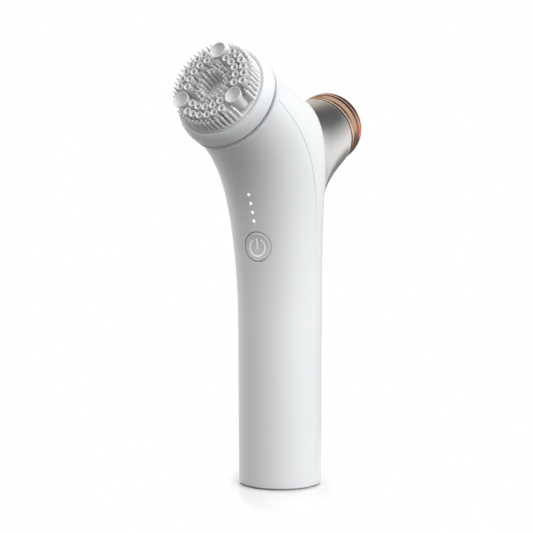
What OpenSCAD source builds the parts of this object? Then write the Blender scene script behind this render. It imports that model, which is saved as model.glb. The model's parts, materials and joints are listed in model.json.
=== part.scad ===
// Two-headed electric skin scrubber: a round grip that bends into a rotating silicone brush head,
// with a flared neck at the back that carries a warm massage head.
// The origin is the centre of the foot, +Z runs up the grip, the brush faces -Y and the massage head +Y.

/* [Grip] */
// Radius of the grip at its base
grip_r = 18; // [17.5:0.5:20]
// How much the grip widens up to the start of the bend
grip_flare = 0.55; // [0:0.05:1]
// Wall of the two plastic shells
wall = 2; // [1.6:0.1:2.2]
// Rounding of the bottom edge
base_edge_r = 1.4; // [0.8:0.1:1.5]
// Height of the foot that shows under the shells
foot_h = 0.6; // [0.4:0.1:1]
// Gap along the seam between the shells
seam_gap = 0.1; // [0.05:0.01:0.2]

/* [Front neck] */
// Tilt of the brush axis above the horizontal
head_tilt = 19.5; // [15:0.5:24]
// Distance of the running gap in front of the grip axis
head_y = 41.55; // [38:0.05:45]
// Height of the centre of the running gap
head_z = 161.65; // [158:0.05:167]
// How far the end of the neck lies inside the brush ring
neck_step = 0.6; // [0.5:0.05:1]
// Angle at which the neck flares towards the brush head
neck_flare = 2; // [0:0.5:4]
// Height where the front of the grip starts to lean forward
front_start = 66.6; // [62:0.2:72]
// Pull of the front curve at its lower end
front_pull_low = 17.6; // [14:0.2:22]
// Pull of the front curve at the neck
front_pull_top = 31.1; // [27:0.1:35]
// Height where the back of the grip starts to bend
back_start = 92.2; // [86:0.2:98]
// Pull of the back curve at its lower end
back_pull_low = 103.6; // [98:0.2:108]
// Pull of the back curve at the neck
back_pull_top = 54.2; // [50:0.2:58]
// Half width that the middle of the bend swells towards
side_w_mid = 25.4; // [23:0.1:26]
// Half width that the end of the bend swells towards
side_w_top = 22.55; // [21.5:0.05:23.5]
// How far the seam swings forward in the bend, in degrees
seam_swing = 14.5; // [0:0.5:20]

/* [Rear neck] */
// Tilt of the massage head's axis above the horizontal
rear_tilt = 25; // [20:0.5:30]
// Distance of the neck's end behind the grip axis
rear_y = 36.9; // [35:0.1:40]
// Height of the centre of the neck's end
rear_z = 158.75; // [156:0.05:163]
// Radius of the neck at its end
rear_r = 17.6; // [17:0.05:18.5]
// Wall of the metal neck cover
rear_wall = 1.8; // [1.4:0.1:2]
// Height where the underside of the neck leaves the grip
rear_root_z = 116; // [112:0.5:120]
// How deep the root of the underside starts inside the grip's back
rear_root_sink = 0.8; // [0.4:0.1:2]
// Pull of the underside at the grip
rear_low_pull = 14; // [10:0.5:18]
// Pull of the underside at the head
rear_low_end = 3.8; // [2:0.1:6]
// Slope of the underside where it meets the head
rear_low_angle = 34.5; // [28:0.5:40]
// Height of the top curve on the grip axis
rear_top_z = 167.6; // [165:0.1:170]
// Pull of the top curve above the grip axis
rear_top_pull = 11; // [6:0.5:15]
// Pull of the top curve at the head
rear_top_end = 2.2; // [1:0.1:5]
// Slope of the top curve where it meets the head
rear_top_angle = 11.5; // [5:0.5:20]
// Half width of the neck at its root
rear_w_root = 18; // [17:0.1:19]
// Half width that the lower part of the neck swells towards
rear_w_low = 20.4; // [19:0.1:21]
// Half width that the upper part of the neck swells towards
rear_w_top = 18.75; // [18:0.05:19.5]
// Gap between the neck cover and the white shell
rear_gap = 0.15; // [0.1:0.05:0.3]
// Radius of the opening in the rear shell behind the neck cover
rear_port_r = 12.5; // [10:0.5:13]

/* [Brush head] */
// Running gap between brush head and neck
run_gap = 1; // [0.7:0.1:1.3]
// Thickness of the collar flange that shows behind the gap
collar_t = 2.9; // [2.4:0.1:3.5]
// How far the collar flange lies inside the brush ring
collar_step = 0.2; // [0.1:0.05:0.35]
// Radius of the brush ring at the gap
ring_r = 21.5; // [21.3:0.1:22.5]
// How far the ring's back edge lies in front of its hub's end
ring_lift = 1; // [0.6:0.1:1.2]
// Radius of the brush ring at its rim
rim_r = 19.75; // [19.3:0.05:20.4]
// Height of the rim above the middle of the gap
rim_z = 7.55; // [7:0.05:8.5]
// Height of the tallest tips above the middle of the gap
tip_z = 15.65; // [14.5:0.05:17]
// Wall of the brush ring
ring_wall = 1.5; // [1.2:0.1:1.8]
// Radius of the circle of suction cups
cup_row_r = 14.15; // [13.8:0.05:14.4]
// Radius of a suction cup's rim
cup_r = 3.45; // [3:0.05:3.6]
// Turn of the first suction cup, in degrees
cup_turn = -31.7; // [-60:0.1:60]
// Radius of the outer row of hollow tubes
tube_out_r = 14.7; // [14.4:0.1:14.9]
// Radius of the inner row of hollow tubes
tube_in_r = 11.1; // [10.9:0.1:11.3]
// Radius of a hollow tube
tube_r = 1.52; // [1.3:0.02:1.66]
// Radius of the hole in a tube
tube_hole_r = 0.7; // [0.5:0.05:0.9]
// Radius of the outer row of pointed bristles
bristle_out_r = 17.4; // [17.2:0.1:17.6]
// Radius of the first inner row of pointed bristles
bristle_in_r = 5.8; // [5.2:0.1:6]
// Radius of the second inner row of pointed bristles
bristle_mid_r = 7.6; // [7.4:0.1:8]
// Radius of a pointed bristle
bristle_r = 0.7; // [0.5:0.02:0.74]

/* [Drive] */
// Radius of the brush spindle
spindle_r = 2; // [1.8:0.1:2.2]
// Depth of the flat on the spindle's end
spindle_flat = 0.5; // [0.3:0.05:0.7]
// Module of the gear pair
gear_module = 0.4; // [0.38:0.01:0.42]
// Teeth of the gear on the spindle
gear_teeth = 42; // [38:1:44]
// Teeth of the motor pinion
pinion_teeth = 14; // [14:1:16]
// Face width of the gear
gear_face = 3; // [2:0.1:3.5]
// Radius of the brush motor
motor_r = 6; // [5:0.1:6.3]
// Length of the brush motor
motor_l = 20; // [15:0.5:22]

/* [Massage head] */
// Width of the thin ring against the neck
trim_w = 1.5; // [1:0.1:2]
// Width of the bead next to it
bead_w = 3; // [2:0.1:3.5]
// How far both lie inside the end of the neck
trim_step = 0.2; // [0.1:0.05:0.5]
// Width of the broad band
band_w = 4.8; // [4:0.1:6]
// Width of the dark insulating ring
insulator_w = 0.6; // [0.4:0.1:1]
// Length of the rounded end cap
plate_l = 7.1; // [6:0.1:8]
// Radius of the end cap's straight skirt
plate_r = 16.5; // [16:0.1:16.8]
// Rounding of the end cap's edge
plate_edge_r = 3.2; // [2:0.1:3.8]
// Rise of the dome on the end face
plate_dome = 1.2; // [0.5:0.1:2]
// Wall of the end cap
plate_wall = 1.4; // [1.2:0.1:1.6]
// Radius of the vibration motor
vib_r = 4; // [3.5:0.1:4.5]
// Length of the vibration motor
vib_l = 12; // [10:0.5:13]

/* [Controls] */
// Height of the power button
btn_z = 103; // [98:0.5:106]
// Radius of the power button
btn_r = 6.35; // [5.5:0.05:6.5]
// Travel of the power button
btn_travel = 0.5; // [0.3:0.1:0.6]
// Height of the lowest light dot
led_z = 113.9; // [113:0.1:116]
// Spacing of the light dots
led_pitch = 3.6; // [3:0.1:3.8]
// Number of light dots
led_count = 4; // [3:1:4]
// Radius of a light dot
led_r = 0.65; // [0.5:0.05:0.9]

/* [Cell and board] */
// Radius of the battery cell
cell_r = 9.25; // [8.5:0.05:9.5]
// Length of the battery cell
cell_l = 65; // [50:0.5:66]
// How far the cell sits behind the grip axis
cell_y = 1.5; // [1:0.1:2.5]
// Width of the circuit board
board_w = 18; // [15:0.5:19]
// Thickness of the circuit board
board_t = 1.6; // [1.2:0.1:1.6]
// Height of the board's top edge
board_top = 127; // [127:0.5:129]
// Depth of the base plug
plug_h = 5; // [4:0.5:7]

/* [Hidden] */
$fn = 64;

// Clearances: a seat between fixed pieces, a sliding or running fit, and overlap of a cutter past a face
seat = 0.05;
run = 0.05;
loose = 0.2;
over = 1;

// Steps of the lofts and of the curved profiles
bend_steps = 18;
edge_steps = 4;
half_steps = 24;
ring_steps = 48;
neck_steps = 14;
curve_steps = 8;

// Curves in the middle plane hold [y, z]
function bez(p, u) = pow(1 - u, 3) * p[0] + 3 * u * pow(1 - u, 2) * p[1]
    + 3 * u * u * (1 - u) * p[2] + pow(u, 3) * p[3];
function bez_wide(p, u) = pow(1 - u, 4) * p[0] + 4 * u * pow(1 - u, 3) * p[1]
    + 6 * pow(u * (1 - u), 2) * p[2] + 4 * pow(u, 3) * (1 - u) * p[3] + pow(u, 4) * p[4];
function bez_dir(p, u) = let (d = pow(1 - u, 2) * (p[1] - p[0]) + 2 * u * (1 - u) * (p[2] - p[1])
    + u * u * (p[3] - p[2])) d / norm(d);
function turn_left(v) = [-v[1], v[0]];
function turn_right(v) = [v[1], -v[0]];

// Front neck: axis and lower side of the brush head, and the four curve points of each rail
grip_top_r = grip_r + grip_flare;
neck_r = ring_r - neck_step;
head_axis = [-cos(head_tilt), sin(head_tilt)];
head_low = [-sin(head_tilt), -cos(head_tilt)];
shell_end = run_gap / 2 + collar_t;
neck_c = [-head_y, head_z] - shell_end * head_axis;
front_end = neck_c + neck_r * head_low;
back_end = neck_c - neck_r * head_low;
flare_along = cos(neck_flare) * head_axis;
flare_out = sin(neck_flare) * head_low;
front_rail = [[-grip_top_r, front_start], [-grip_top_r, front_start + front_pull_low],
    front_end - front_pull_top * (flare_along + flare_out), front_end];
back_rail = [[grip_top_r, back_start], [grip_top_r, back_start + back_pull_low],
    back_end - back_pull_top * (flare_along - flare_out), back_end];
side_lead = 0.25;
side_rail = [grip_top_r, grip_top_r + side_lead, side_w_mid, side_w_top, neck_r];

// Points of the rails, moved inwards by the inset d
function front_pt(u, d) = bez(front_rail, u) + d * turn_right(bez_dir(front_rail, u));
function back_pt(u, d) = bez(back_rail, u) + d * turn_left(bez_dir(back_rail, u));

// A station of a loft holds the two rail points and the half width
grip_rings = [for (k = [0:edge_steps]) let (a = 90 * k / edge_steps)
    [a, foot_h + base_edge_r * (1 - cos(a))]];
bend_lead = 8;
grip_ring_top = front_start - bend_lead;
function grip_station(a, z, d) = let (r = d > 0 ? grip_r - d : grip_r - base_edge_r * (1 - sin(a)) - d)
    [[-r, z], [r, z], r];
function grip_top_station(d) = let (r = grip_r + grip_flare * grip_ring_top / front_start - d)
    [[-r, grip_ring_top], [r, grip_ring_top], r];
function bend_station(u, d) = [front_pt(u, d), back_pt(u, d), bez_wide(side_rail, u) - d];
function body_stations(d) = concat([for (g = grip_rings) grip_station(g[0], g[1], d)], [grip_top_station(d)],
    [for (i = [0:bend_steps]) bend_station(i / bend_steps, d)]);
function section_pt(s, a) = let (mid = (s[0] + s[1]) / 2, half = (s[0] - s[1]) / 2)
    [s[2] * cos(a), mid[0] + half[0] * sin(a), mid[1] + half[1] * sin(a)];

// The seam stays at the side of the grip and swings forward in the bend
seam_angles = concat([for (g = grip_rings) 0], [0],
    [for (i = [0:bend_steps]) seam_swing * sin(180 * i / bend_steps)]);
seam_turn = asin(seam_gap / 2 / grip_r);

// Rear neck: axis and lower side of the massage head, and its rails
rear_axis = [cos(rear_tilt), sin(rear_tilt)];
rear_low = [sin(rear_tilt), -cos(rear_tilt)];
rear_c = [rear_y, rear_z];
rear_low_tip = rear_c + rear_r * rear_low;
rear_top_tip = rear_c - rear_r * rear_low;
rear_root_y = grip_top_r - rear_root_sink;
rear_low_rail = [[rear_root_y, rear_root_z], [rear_root_y, rear_root_z + rear_low_pull],
    rear_low_tip - rear_low_end * [cos(rear_low_angle), sin(rear_low_angle)], rear_low_tip];
rear_top_rail = [[0, rear_top_z], [rear_top_pull, rear_top_z],
    rear_top_tip - rear_top_end * [cos(rear_top_angle), sin(rear_top_angle)], rear_top_tip];
rear_side_rail = [rear_w_root, rear_w_low, rear_w_top, rear_r];
function neck_station(u, d) = [bez(rear_top_rail, u) + d * turn_right(bez_dir(rear_top_rail, u)),
    bez(rear_low_rail, u) + d * turn_left(bez_dir(rear_low_rail, u)), bez(rear_side_rail, u) - d];
function moved(s, v) = [s[0] + v, s[1] + v, s[2]];

// Controls follow the front curve
function front_u(z, lo = 0, hi = 1, n = 24) = let (m = (lo + hi) / 2)
    n == 0 ? m : front_pt(m, 0)[1] < z ? front_u(z, m, hi, n - 1) : front_u(z, lo, m, n - 1);
btn_u = front_u(btn_z);
btn_pt = front_pt(btn_u, 0);
btn_dir = bez_dir(front_rail, btn_u);
btn_lean = atan2(-btn_dir[0], btn_dir[1]);
btn_face_r = bez_wide(side_rail, btn_u);
btn_hole_r = btn_r + loose;
btn_flange_w = 0.75;
btn_flange_r = btn_r + btn_flange_w;
btn_well_r = btn_flange_r + loose;
btn_boss_wall = 0.7;
btn_boss_r = btn_well_r + btn_boss_wall;
btn_boss_top = btn_boss_r * btn_boss_r / 2 / btn_face_r;
btn_ledge = 1.4;
btn_step = btn_boss_top + btn_ledge;
btn_flange_t = 0.8;
btn_rest_gap = 0.1;
btn_end_gap = 0.8;
btn_boss_low = btn_step + btn_flange_t + btn_travel + btn_end_gap;
btn_seal_t = 0.65;
led_zs = [for (i = [0:led_count - 1]) led_z + i * led_pitch];
function front_y(z) = front_pt(front_u(z), 0)[0];

// Stack in the grip, from the foot upwards
inner_r = grip_r - wall;
foot_inset = 0.3;
foot_r = grip_r - base_edge_r - foot_inset;
plug_gap = 0.15;
plug_r = inner_r - plug_gap;
plug_low = 0.2;
plug_wall = 1.8;
plug_floor = 2.4;
seal_cord_r = 0.3;
seal_proud = 0.1;
groove_h = 2 * seal_cord_r + 2 * seat;
groove_r = plug_r + seal_proud - 2 * seal_cord_r - seat;
seal_z = (plug_floor + plug_h) / 2;
contact_r = 1.5;
contact_x = 5;
contact_sink = 0.1;
contact_rim = 0.6;
contact_rim_t = 0.75;
bulkhead_t = 2;
bulkhead_gap = 0.35;
bulkhead_r = inner_r - bulkhead_gap;
cell_z = plug_h + bulkhead_t + loose;
cell_nub_h = 0.7;
cradle_top = cell_z + cell_l + cell_nub_h + loose;
cradle_wall = 1.6;
plate_gap = 1.4;
plate_t = 1.4;
plate_front = cell_r - cell_y + plate_gap + plate_t;
plate_inset = 1;
plate_w = board_w - 2 * plate_inset;
board_front = plate_front + board_t;
board_low = plug_h + bulkhead_t + over;
board_screw_r = 0.95;
board_screw_in = 3;
board_screw_up = 8;
board_screw_under = 12;
board_screw_x = board_w / 2 - board_screw_in;
board_screw_zs = [board_low + board_screw_up, btn_z - board_screw_under];
board_screw_head = 1.05;
screw_tip_gap = 0.6;
led_chip_h = 0.8;
led_chip_w = 2;
led_chip_l = 1.2;
led_sink = 0.15;
guide_bar_t = 1.6;
guide_bar_w = 4;
switch_h = 0.9;
switch_knob_h = 0.4;
switch_w = 6;

// The button's stem stops just short of the switch at the end of its travel
stem_r = 1.4;
switch_top = board_front + switch_h + switch_knob_h;
stem_gap = 0.3;
stem_reach = (-btn_pt[0] - switch_top) / cos(btn_lean) - btn_travel - stem_gap;
switch_z = btn_z + (stem_reach + btn_travel) * sin(btn_lean);

// Drive along the brush axis: heights are measured from the middle of the running gap
collar_front = -run_gap / 2;
flange_back = wall * sin(neck_flare) + seat - shell_end;
collar_r = ring_r - collar_step;
collar_bevel_w = 0.85;
collar_bevel_h = 0.55;
collar_lip = 0.15;
collar_recess = 0.9;
collar_plate_t = 2.2;
collar_plate_back = collar_front - collar_recess - collar_plate_t;
spigot_l = 7.5;
spigot_gap = 0.2;
spigot_r = neck_r - wall - spigot_l * tan(neck_flare) - spigot_gap;
spigot_wall = 1.6;
bush_wall = 2;
bush_r = spindle_r + bush_wall;
bush_l = 5.6;
boss_wall = 2.2;
shaft_gap = 0.6;
seal_t = 1.5;
seal_front = collar_front - collar_recess - 2 * seat;
seal_back = seal_front - seal_t;
bush_front = collar_plate_back - 2 * loose;
bush_back = bush_front - bush_l;
gear_pitch_r = gear_module * gear_teeth / 2;
pinion_pitch_r = gear_module * pinion_teeth / 2;
gear_spread = 0.04;
pressure_angle = 20;
addendum = 0.85;
dedendum = 1.2;
gear_backlash = 0.02;
gear_offset = gear_pitch_r + pinion_pitch_r + gear_spread;
gear_hub_wall = 1.5;
gear_hub_r = spindle_r + gear_hub_wall;
gear_bore_gap = 0.02;
hub_play = 0.15;
gear_front = bush_back - gear_hub_wall;
gear_back = gear_front - gear_face;
hub_over = 1.2;
hub_back = gear_back - hub_over;
housing_front = hub_back - 2 * hub_play;
housing_t = 2.2;
housing_back = housing_front - housing_t;
housing_gap = 0.3;
housing_r = spigot_r - spigot_wall - housing_gap;
post_r = 1.8;
post_edge = 0.4;
post_row_r = housing_r - post_r - post_edge;
post_angles = [90, 210, 330];
rear_bush_wall = 1.2;
rear_bush_r = spindle_r + rear_bush_wall;
pinion_over = 0.2;
motor_front = housing_back - seat;
motor_boss_r = 2.6;
motor_cap_h = 1;
shaft_r = 0.75;
shaft_end_gap = 0.4;
shaft_share = 0.6;
shaft_l = motor_l * shaft_share;
screw_r = 0.75;
screw_head_r = 1.4;
screw_head_h = 1;
screw_bite = 1.2;
motor_screw_in = 1.8;
motor_screw_x = motor_r - motor_screw_in;
spindle_bite = 4.6;
spindle_front = run_gap / 2 + spindle_bite;
spindle_back = housing_back + loose;
web_gap = 2;
web_low = run_gap / 2 + web_gap;
web_t = 1.4;
web_top = web_low + web_t;
hub_wall = 2.2;
hub_r = spindle_r + hub_wall;
hub_cap = 1.2;
hub_top = spindle_front + hub_cap;
pad_gap = 0.1;
pad_r = rim_r - ring_wall;
bed_drop = 0.3;
bed_z = rim_z - bed_drop;
nub_sink = 0.6;
cup_proud = 0.3;
cup_flare = 1.2;
cup_lip = 0.35;
cup_depth = 3;
cup_floor_r = 0.6;
point_h = 2.1;
point_share = 0.4;
point_r = bristle_r * point_share;
tubes_out = 6;
tubes_out_step = 13.2;
tubes_in = 5;
tubes_in_step = 18;
bristles_out = 15;
bristles_out_step = 6.6;
bristles_in = 6;
bristles_in_step = 20;
tube_floor = 2;
tube_sides = 8;
hole_sides = 6;

// Massage head along its own axis, measured from the end of the rear neck
core_gap = 1.6;
core_r = rear_r - rear_wall - core_gap;
core_wall = 2.2;
flange_gap = 0.25;
trim_groove = 0.3;
bead_low = seat + trim_w + trim_groove;
bead_top = bead_low + bead_w;
band_low = bead_top + 2 * seat;
band_top = band_low + band_w;
insulator_sink = 0.5;
insulator_low = band_top + seat;
insulator_top = insulator_low + insulator_w;
plate_low = insulator_top + seat;
plate_top = plate_low + plate_l;
plate_bite = 1.6;
core_top = plate_low + plate_bite;
ring_bore_r = core_r + seat;
core_flange_t = 2.6;
core_low = -6;
heater_gap = 1;
heater_r = core_r - core_wall - heater_gap;
heater_top = plate_top - plate_wall - seat;
heater_t = 1.6;
vib_top = core_flange_t;
vib_low = vib_top - vib_l;
vib_shaft_r = 0.6;
vib_boss_wall = 0.8;
vib_boss_h = 0.4;
vib_weight_r = vib_r - vib_boss_h;
vib_weight_l = 4;
vib_weight_top = vib_low - 2 * vib_boss_h;
vib_weight_low = vib_weight_top - vib_weight_l;

// Frames of the two heads and of the button, with +Z pointing outwards
module at_head(z = 0) {
    translate([0, -head_y, head_z]) rotate([90 - head_tilt, 0, 0]) translate([0, 0, z]) children();
}
module at_rear(z = 0) {
    translate([0, rear_y, rear_z]) rotate([rear_tilt - 90, 0, 0]) translate([0, 0, z]) children();
}
module at_button(z = 0) {
    translate([0, btn_pt[0], btn_pt[1]]) rotate([90 + btn_lean, 0, 0]) translate([0, 0, z]) children();
}
module at_light(z) {
    translate([0, front_y(z), z]) rotate([90, 0, 0]) children();
}
module at_motor(z = 0) {
    at_head(z) translate([0, -gear_offset, 0]) children();
}

// A round bar or ring between two heights
module posts(angles, r) {
    for (a = angles) {
        rotate([0, 0, a]) translate([r, 0, 0]) children();
    }
}
module pair(x) {
    for (side = [-1, 1]) {
        translate([side * x, 0, 0]) children();
    }
}
module bar(r, low, top) {
    translate([0, 0, low]) cylinder(r = r, h = top - low);
}
module ring(r, bore, low, top) {
    difference() {
        bar(r, low, top);
        bar(bore, low - over, top + over);
    }
}

// Lofts through stations: a closed skin, or a half shell between an outer and an inner skin
function quad(a, b, c, d) = [[a, b, c], [a, c, d]];
module loft(stations) {
    n = ring_steps;
    last = len(stations) - 1;
    points = [for (s = stations, j = [0:n - 1]) section_pt(s, 360 * j / n)];
    sides = [for (i = [0:last - 1], j = [0:n - 1]) let (k = (j + 1) % n)
        each quad(i * n + j, i * n + k, (i + 1) * n + k, (i + 1) * n + j)];
    low_cap = [for (j = [n - 1:-1:0]) j];
    top_cap = [for (j = [0:n - 1]) last * n + j];
    polyhedron(points, concat(sides, [low_cap], [top_cap]));
}
module half_shell(outer, inner, angles) {
    n = half_steps;
    row = 2 * (n + 1);
    last = len(outer) - 1;
    points = [for (i = [0:last], s = [outer[i], inner[i]], j = [0:n])
        section_pt(s, angles[i][0] + (angles[i][1] - angles[i][0]) * j / n)];
    function o(i, j) = i * row + j;
    function q(i, j) = i * row + n + 1 + j;
    skins = [for (i = [0:last - 1], j = [0:n - 1])
        each concat(quad(o(i, j), o(i, j + 1), o(i + 1, j + 1), o(i + 1, j)),
            quad(q(i, j), q(i + 1, j), q(i + 1, j + 1), q(i, j + 1)))];
    seams = [for (i = [0:last - 1])
        each concat(quad(o(i, 0), o(i + 1, 0), q(i + 1, 0), q(i, 0)),
            quad(o(i + 1, n), o(i, n), q(i, n), q(i + 1, n)))];
    ends = [for (j = [0:n - 1])
        each concat(quad(o(0, j + 1), o(0, j), q(0, j), q(0, j + 1)),
            quad(o(last, j), o(last, j + 1), q(last, j + 1), q(last, j)))];
    polyhedron(points, concat(skins, seams, ends));
}

// Housing

module front_shell() {
    angles = [for (a = seam_angles) [a + seam_turn, 180 - a - seam_turn]];
    color("white") difference() {
        union() {
            half_shell(body_stations(0), body_stations(wall), angles);
            at_button() bar(btn_boss_r, -btn_boss_low, -btn_boss_top);
        }
        at_button() bar(btn_hole_r, -btn_step - over, over);
        at_button() bar(btn_well_r, -btn_boss_low - over, -btn_step);
        for (z = led_zs) {
            at_light(z) bar(led_r + run, -2 * wall, over);
        }
    }
}

module rear_shell() {
    angles = [for (a = seam_angles) [180 - a + seam_turn, 360 + a - seam_turn]];
    color("white") difference() {
        half_shell(body_stations(0), body_stations(wall), angles);
        at_rear() bar(rear_port_r, -rear_y, over);
    }
}

module neck_collar() {
    lip_r = collar_r - collar_bevel_w;
    rim = [[collar_r, flange_back], [collar_r, collar_front - collar_bevel_h], [lip_r, collar_front]];
    color("white") at_head() difference() {
        union() {
            rotate_extrude() polygon(concat([[0, flange_back]], rim, [[0, collar_front]]));
            ring(spigot_r, spigot_r - spigot_wall, -shell_end - spigot_l, flange_back + collar_t / 2);
            bar(spigot_r - over / 2, collar_plate_back, collar_front - collar_recess);
            bar(bush_r + boss_wall, bush_back, collar_plate_back + over);
        }
        bar(lip_r - collar_lip, collar_front - collar_recess, over);
        bar(bush_r + seat, bush_back - over, bush_front);
        bar(spindle_r + shaft_gap, bush_front - over, over);
        bar(bush_r + seat, seal_back - seat, over);
        posts(post_angles, post_row_r)
            bar(screw_r + seat, collar_plate_back - over, collar_plate_back + screw_bite);
    }
}

module base_cap() {
    color("gainsboro") difference() {
        union() {
            bar(foot_r, 0, foot_h - seat);
            bar(plug_r, plug_low, plug_h);
        }
        bar(plug_r - plug_wall, plug_floor, plug_h + over);
        ring(plug_r + over, groove_r, seal_z - groove_h / 2, seal_z + groove_h / 2);
        pair(contact_x) bar(contact_r + seat, -over, plug_h);
    }
}

module base_seal() {
    color("dimgray") translate([0, 0, seal_z]) rotate_extrude()
        translate([plug_r + seal_proud - seal_cord_r, 0]) circle(r = seal_cord_r);
}

module charge_contacts() {
    color("gold") pair(contact_x) union() {
        bar(contact_r, contact_sink, plug_floor + over);
        bar(contact_r + contact_rim, plug_floor + seat, plug_floor + contact_rim_t);
    }
}

// Rear neck and massage head

module rear_neck() {
    outer = [for (i = [0:neck_steps]) neck_station(i / neck_steps, 0)];
    inner = [for (i = [0:neck_steps]) neck_station(i / neck_steps, rear_wall)];
    color("silver") difference() {
        loft(outer);
        loft(concat(inner, [moved(inner[neck_steps], over * rear_axis)]));
        loft(body_stations(-rear_gap));
    }
}

module head_base() {
    color("dimgray") at_rear() difference() {
        union() {
            bar(core_r, core_low, core_top);
            bar(rear_r - rear_wall - flange_gap, -core_flange_t - seat, -seat);
        }
        bar(core_r - core_wall, core_flange_t, core_top + over);
        bar(core_r - core_wall, core_low - over, -core_flange_t);
        bar(vib_r + seat, -core_flange_t - over, core_flange_t + over);
    }
}

module trim_ring() {
    top_r = rear_r - trim_step;
    foot = 0.7;
    edge = 0.2;
    root_r = top_r - foot;
    thin = [[ring_bore_r, seat], [top_r, seat], [top_r, trim_w - edge], [top_r - edge, seat + trim_w],
        [root_r, seat + trim_w]];
    bead = [for (i = [0:curve_steps]) let (a = 180 * i / curve_steps)
        [root_r + foot * sin(a), bead_low + bead_w / 2 * (1 - cos(a))]];
    color("rosybrown") at_rear() rotate_extrude()
        polygon(concat(thin, bead, [[ring_bore_r, bead_top]]));
}

module head_collar() {
    swell = 0.5;
    taper = 0.2;
    band = [for (i = [0:curve_steps]) let (t = i / curve_steps)
        [plate_r + swell * (1 - pow(2 * t - 1, 2)) + taper * (1 - t), band_low + band_w * t]];
    color("rosybrown") at_rear() rotate_extrude()
        polygon(concat([[ring_bore_r, band_low]], band, [[ring_bore_r, band_top]]));
}

module insulator_ring() {
    color("dimgray") at_rear() ring(plate_r - insulator_sink, ring_bore_r, insulator_low, insulator_top);
}

module massage_plate() {
    edge = plate_r - plate_edge_r;
    dome_r = (edge * edge + plate_dome * plate_dome) / 2 / plate_dome;
    shoulder = [for (i = [0:curve_steps]) let (a = 90 * i / curve_steps)
        [edge + plate_edge_r * cos(a), plate_top - plate_edge_r + plate_edge_r * sin(a)]];
    dome = [for (i = [1:curve_steps]) let (r = edge * (1 - i / curve_steps))
        [r, plate_top + plate_dome - dome_r + sqrt(dome_r * dome_r - r * r)]];
    inside_top = plate_top - plate_wall;
    color("rosybrown") at_rear() difference() {
        rotate_extrude() polygon(concat([[0, plate_low], [plate_r, plate_low]], shoulder, dome));
        bar(ring_bore_r, plate_low - over, core_top + seat);
        bar(edge, plate_low, inside_top);
    }
}

module heater_disc() {
    color("beige") at_rear() bar(heater_r, heater_top - heater_t, heater_top);
}

module vib_motor() {
    color("silver") at_rear() difference() {
        union() {
            bar(vib_r, vib_low, vib_top);
            bar(vib_shaft_r + vib_boss_wall, vib_low - vib_boss_h, vib_low + over);
        }
        bar(vib_shaft_r + run, vib_low - over, vib_low + vib_l / 2);
    }
}

module vib_weight() {
    color("goldenrod") at_rear() union() {
        bar(vib_shaft_r, vib_weight_low, vib_low + vib_l / 2 - vib_boss_h);
        intersection() {
            bar(vib_weight_r, vib_weight_low, vib_weight_top);
            translate([-vib_r, -vib_r, vib_weight_low])
                cube([2 * vib_r, vib_r + vib_shaft_r / 2, vib_weight_l]);
        }
    }
}

// Brush head

module brush_carrier() {
    hub_low = run_gap / 2;
    low = hub_low + ring_lift;
    edge = 0.3;
    shoulder = 1.3;
    skirt_r = ring_r - ring_wall - 2 * edge;
    skin = [for (i = [0:curve_steps]) let (t = i / curve_steps)
        pow(1 - t, 2) * [ring_r, low + edge] + 2 * t * (1 - t) * [ring_r, rim_z - shoulder]
            + t * t * [rim_r + edge / 2, rim_z - edge / 2]];
    foot = [[0, web_low], [skirt_r, web_low], [skirt_r, low], [ring_r - edge, low]];
    flat = spindle_r - spindle_flat + run;
    color("white") at_head() difference() {
        union() {
            difference() {
                rotate_extrude() polygon(concat(foot, skin, [[rim_r - edge / 2, rim_z], [0, rim_z]]));
                bar(pad_r, web_top, rim_z + over);
            }
            bar(hub_r, hub_low, hub_top);
        }
        difference() {
            bar(spindle_r + run, -over, spindle_front + loose);
            translate([-hub_r, flat, -2 * over]) cube([2 * hub_r, hub_r, hub_top + 3 * over]);
        }
    }
}

// Angles of one third of the nub field, counted from the middle between two suction cups
function fan(count, step) = [for (i = [0:count - 1]) (i - (count - 1) / 2) * step];
module thirds(angles, r) {
    for (k = [0:2], a = angles) {
        rotate(cup_turn + 60 + 120 * k + a) translate([r, 0]) children();
    }
}

module brush_pad() {
    low = bed_z - nub_sink;
    tube_top = tip_z - cup_proud;
    color("lightgray") at_head() {
        difference() {
            union() {
                bar(pad_r - pad_gap, web_top + seat, bed_z);
                translate([0, 0, low]) linear_extrude(tube_top - low) tube_rows(tube_r, tube_sides);
                translate([0, 0, low]) linear_extrude(tube_top - point_h - low) pointed_rows(bristle_r);
                translate([0, 0, low]) linear_extrude(tube_top - low) pointed_rows(point_r);
                thirds([60], cup_row_r) suction_cup(low);
            }
            translate([0, 0, bed_z + tube_floor]) linear_extrude(tip_z) tube_rows(tube_hole_r, hole_sides);
            bar(hub_r + loose, web_top - over, hub_top + loose);
        }
    }
}

module tube_rows(r, sides) {
    thirds(fan(tubes_out, tubes_out_step), tube_out_r) circle(r = r, $fn = sides);
    thirds(fan(tubes_in, tubes_in_step), tube_in_r) circle(r = r, $fn = sides);
}

module pointed_rows(r) {
    thirds(fan(bristles_out, bristles_out_step), bristle_out_r) circle(r = r, $fn = 4);
    thirds(fan(bristles_in, bristles_in_step), bristle_in_r) circle(r = r, $fn = 4);
    thirds(fan(bristles_in, bristles_in_step), bristle_mid_r) circle(r = r, $fn = 4);
}

module suction_cup(low) {
    stem = cup_r - cup_flare;
    floor_z = tip_z - cup_depth;
    outside = [[0, low], [stem, low], [stem, floor_z], [cup_r, tip_z]];
    inside = [[cup_r - cup_lip, tip_z], [cup_floor_r, floor_z - cup_lip], [0, floor_z - cup_lip]];
    rotate_extrude() polygon(concat(outside, inside));
}

// Drive

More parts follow.
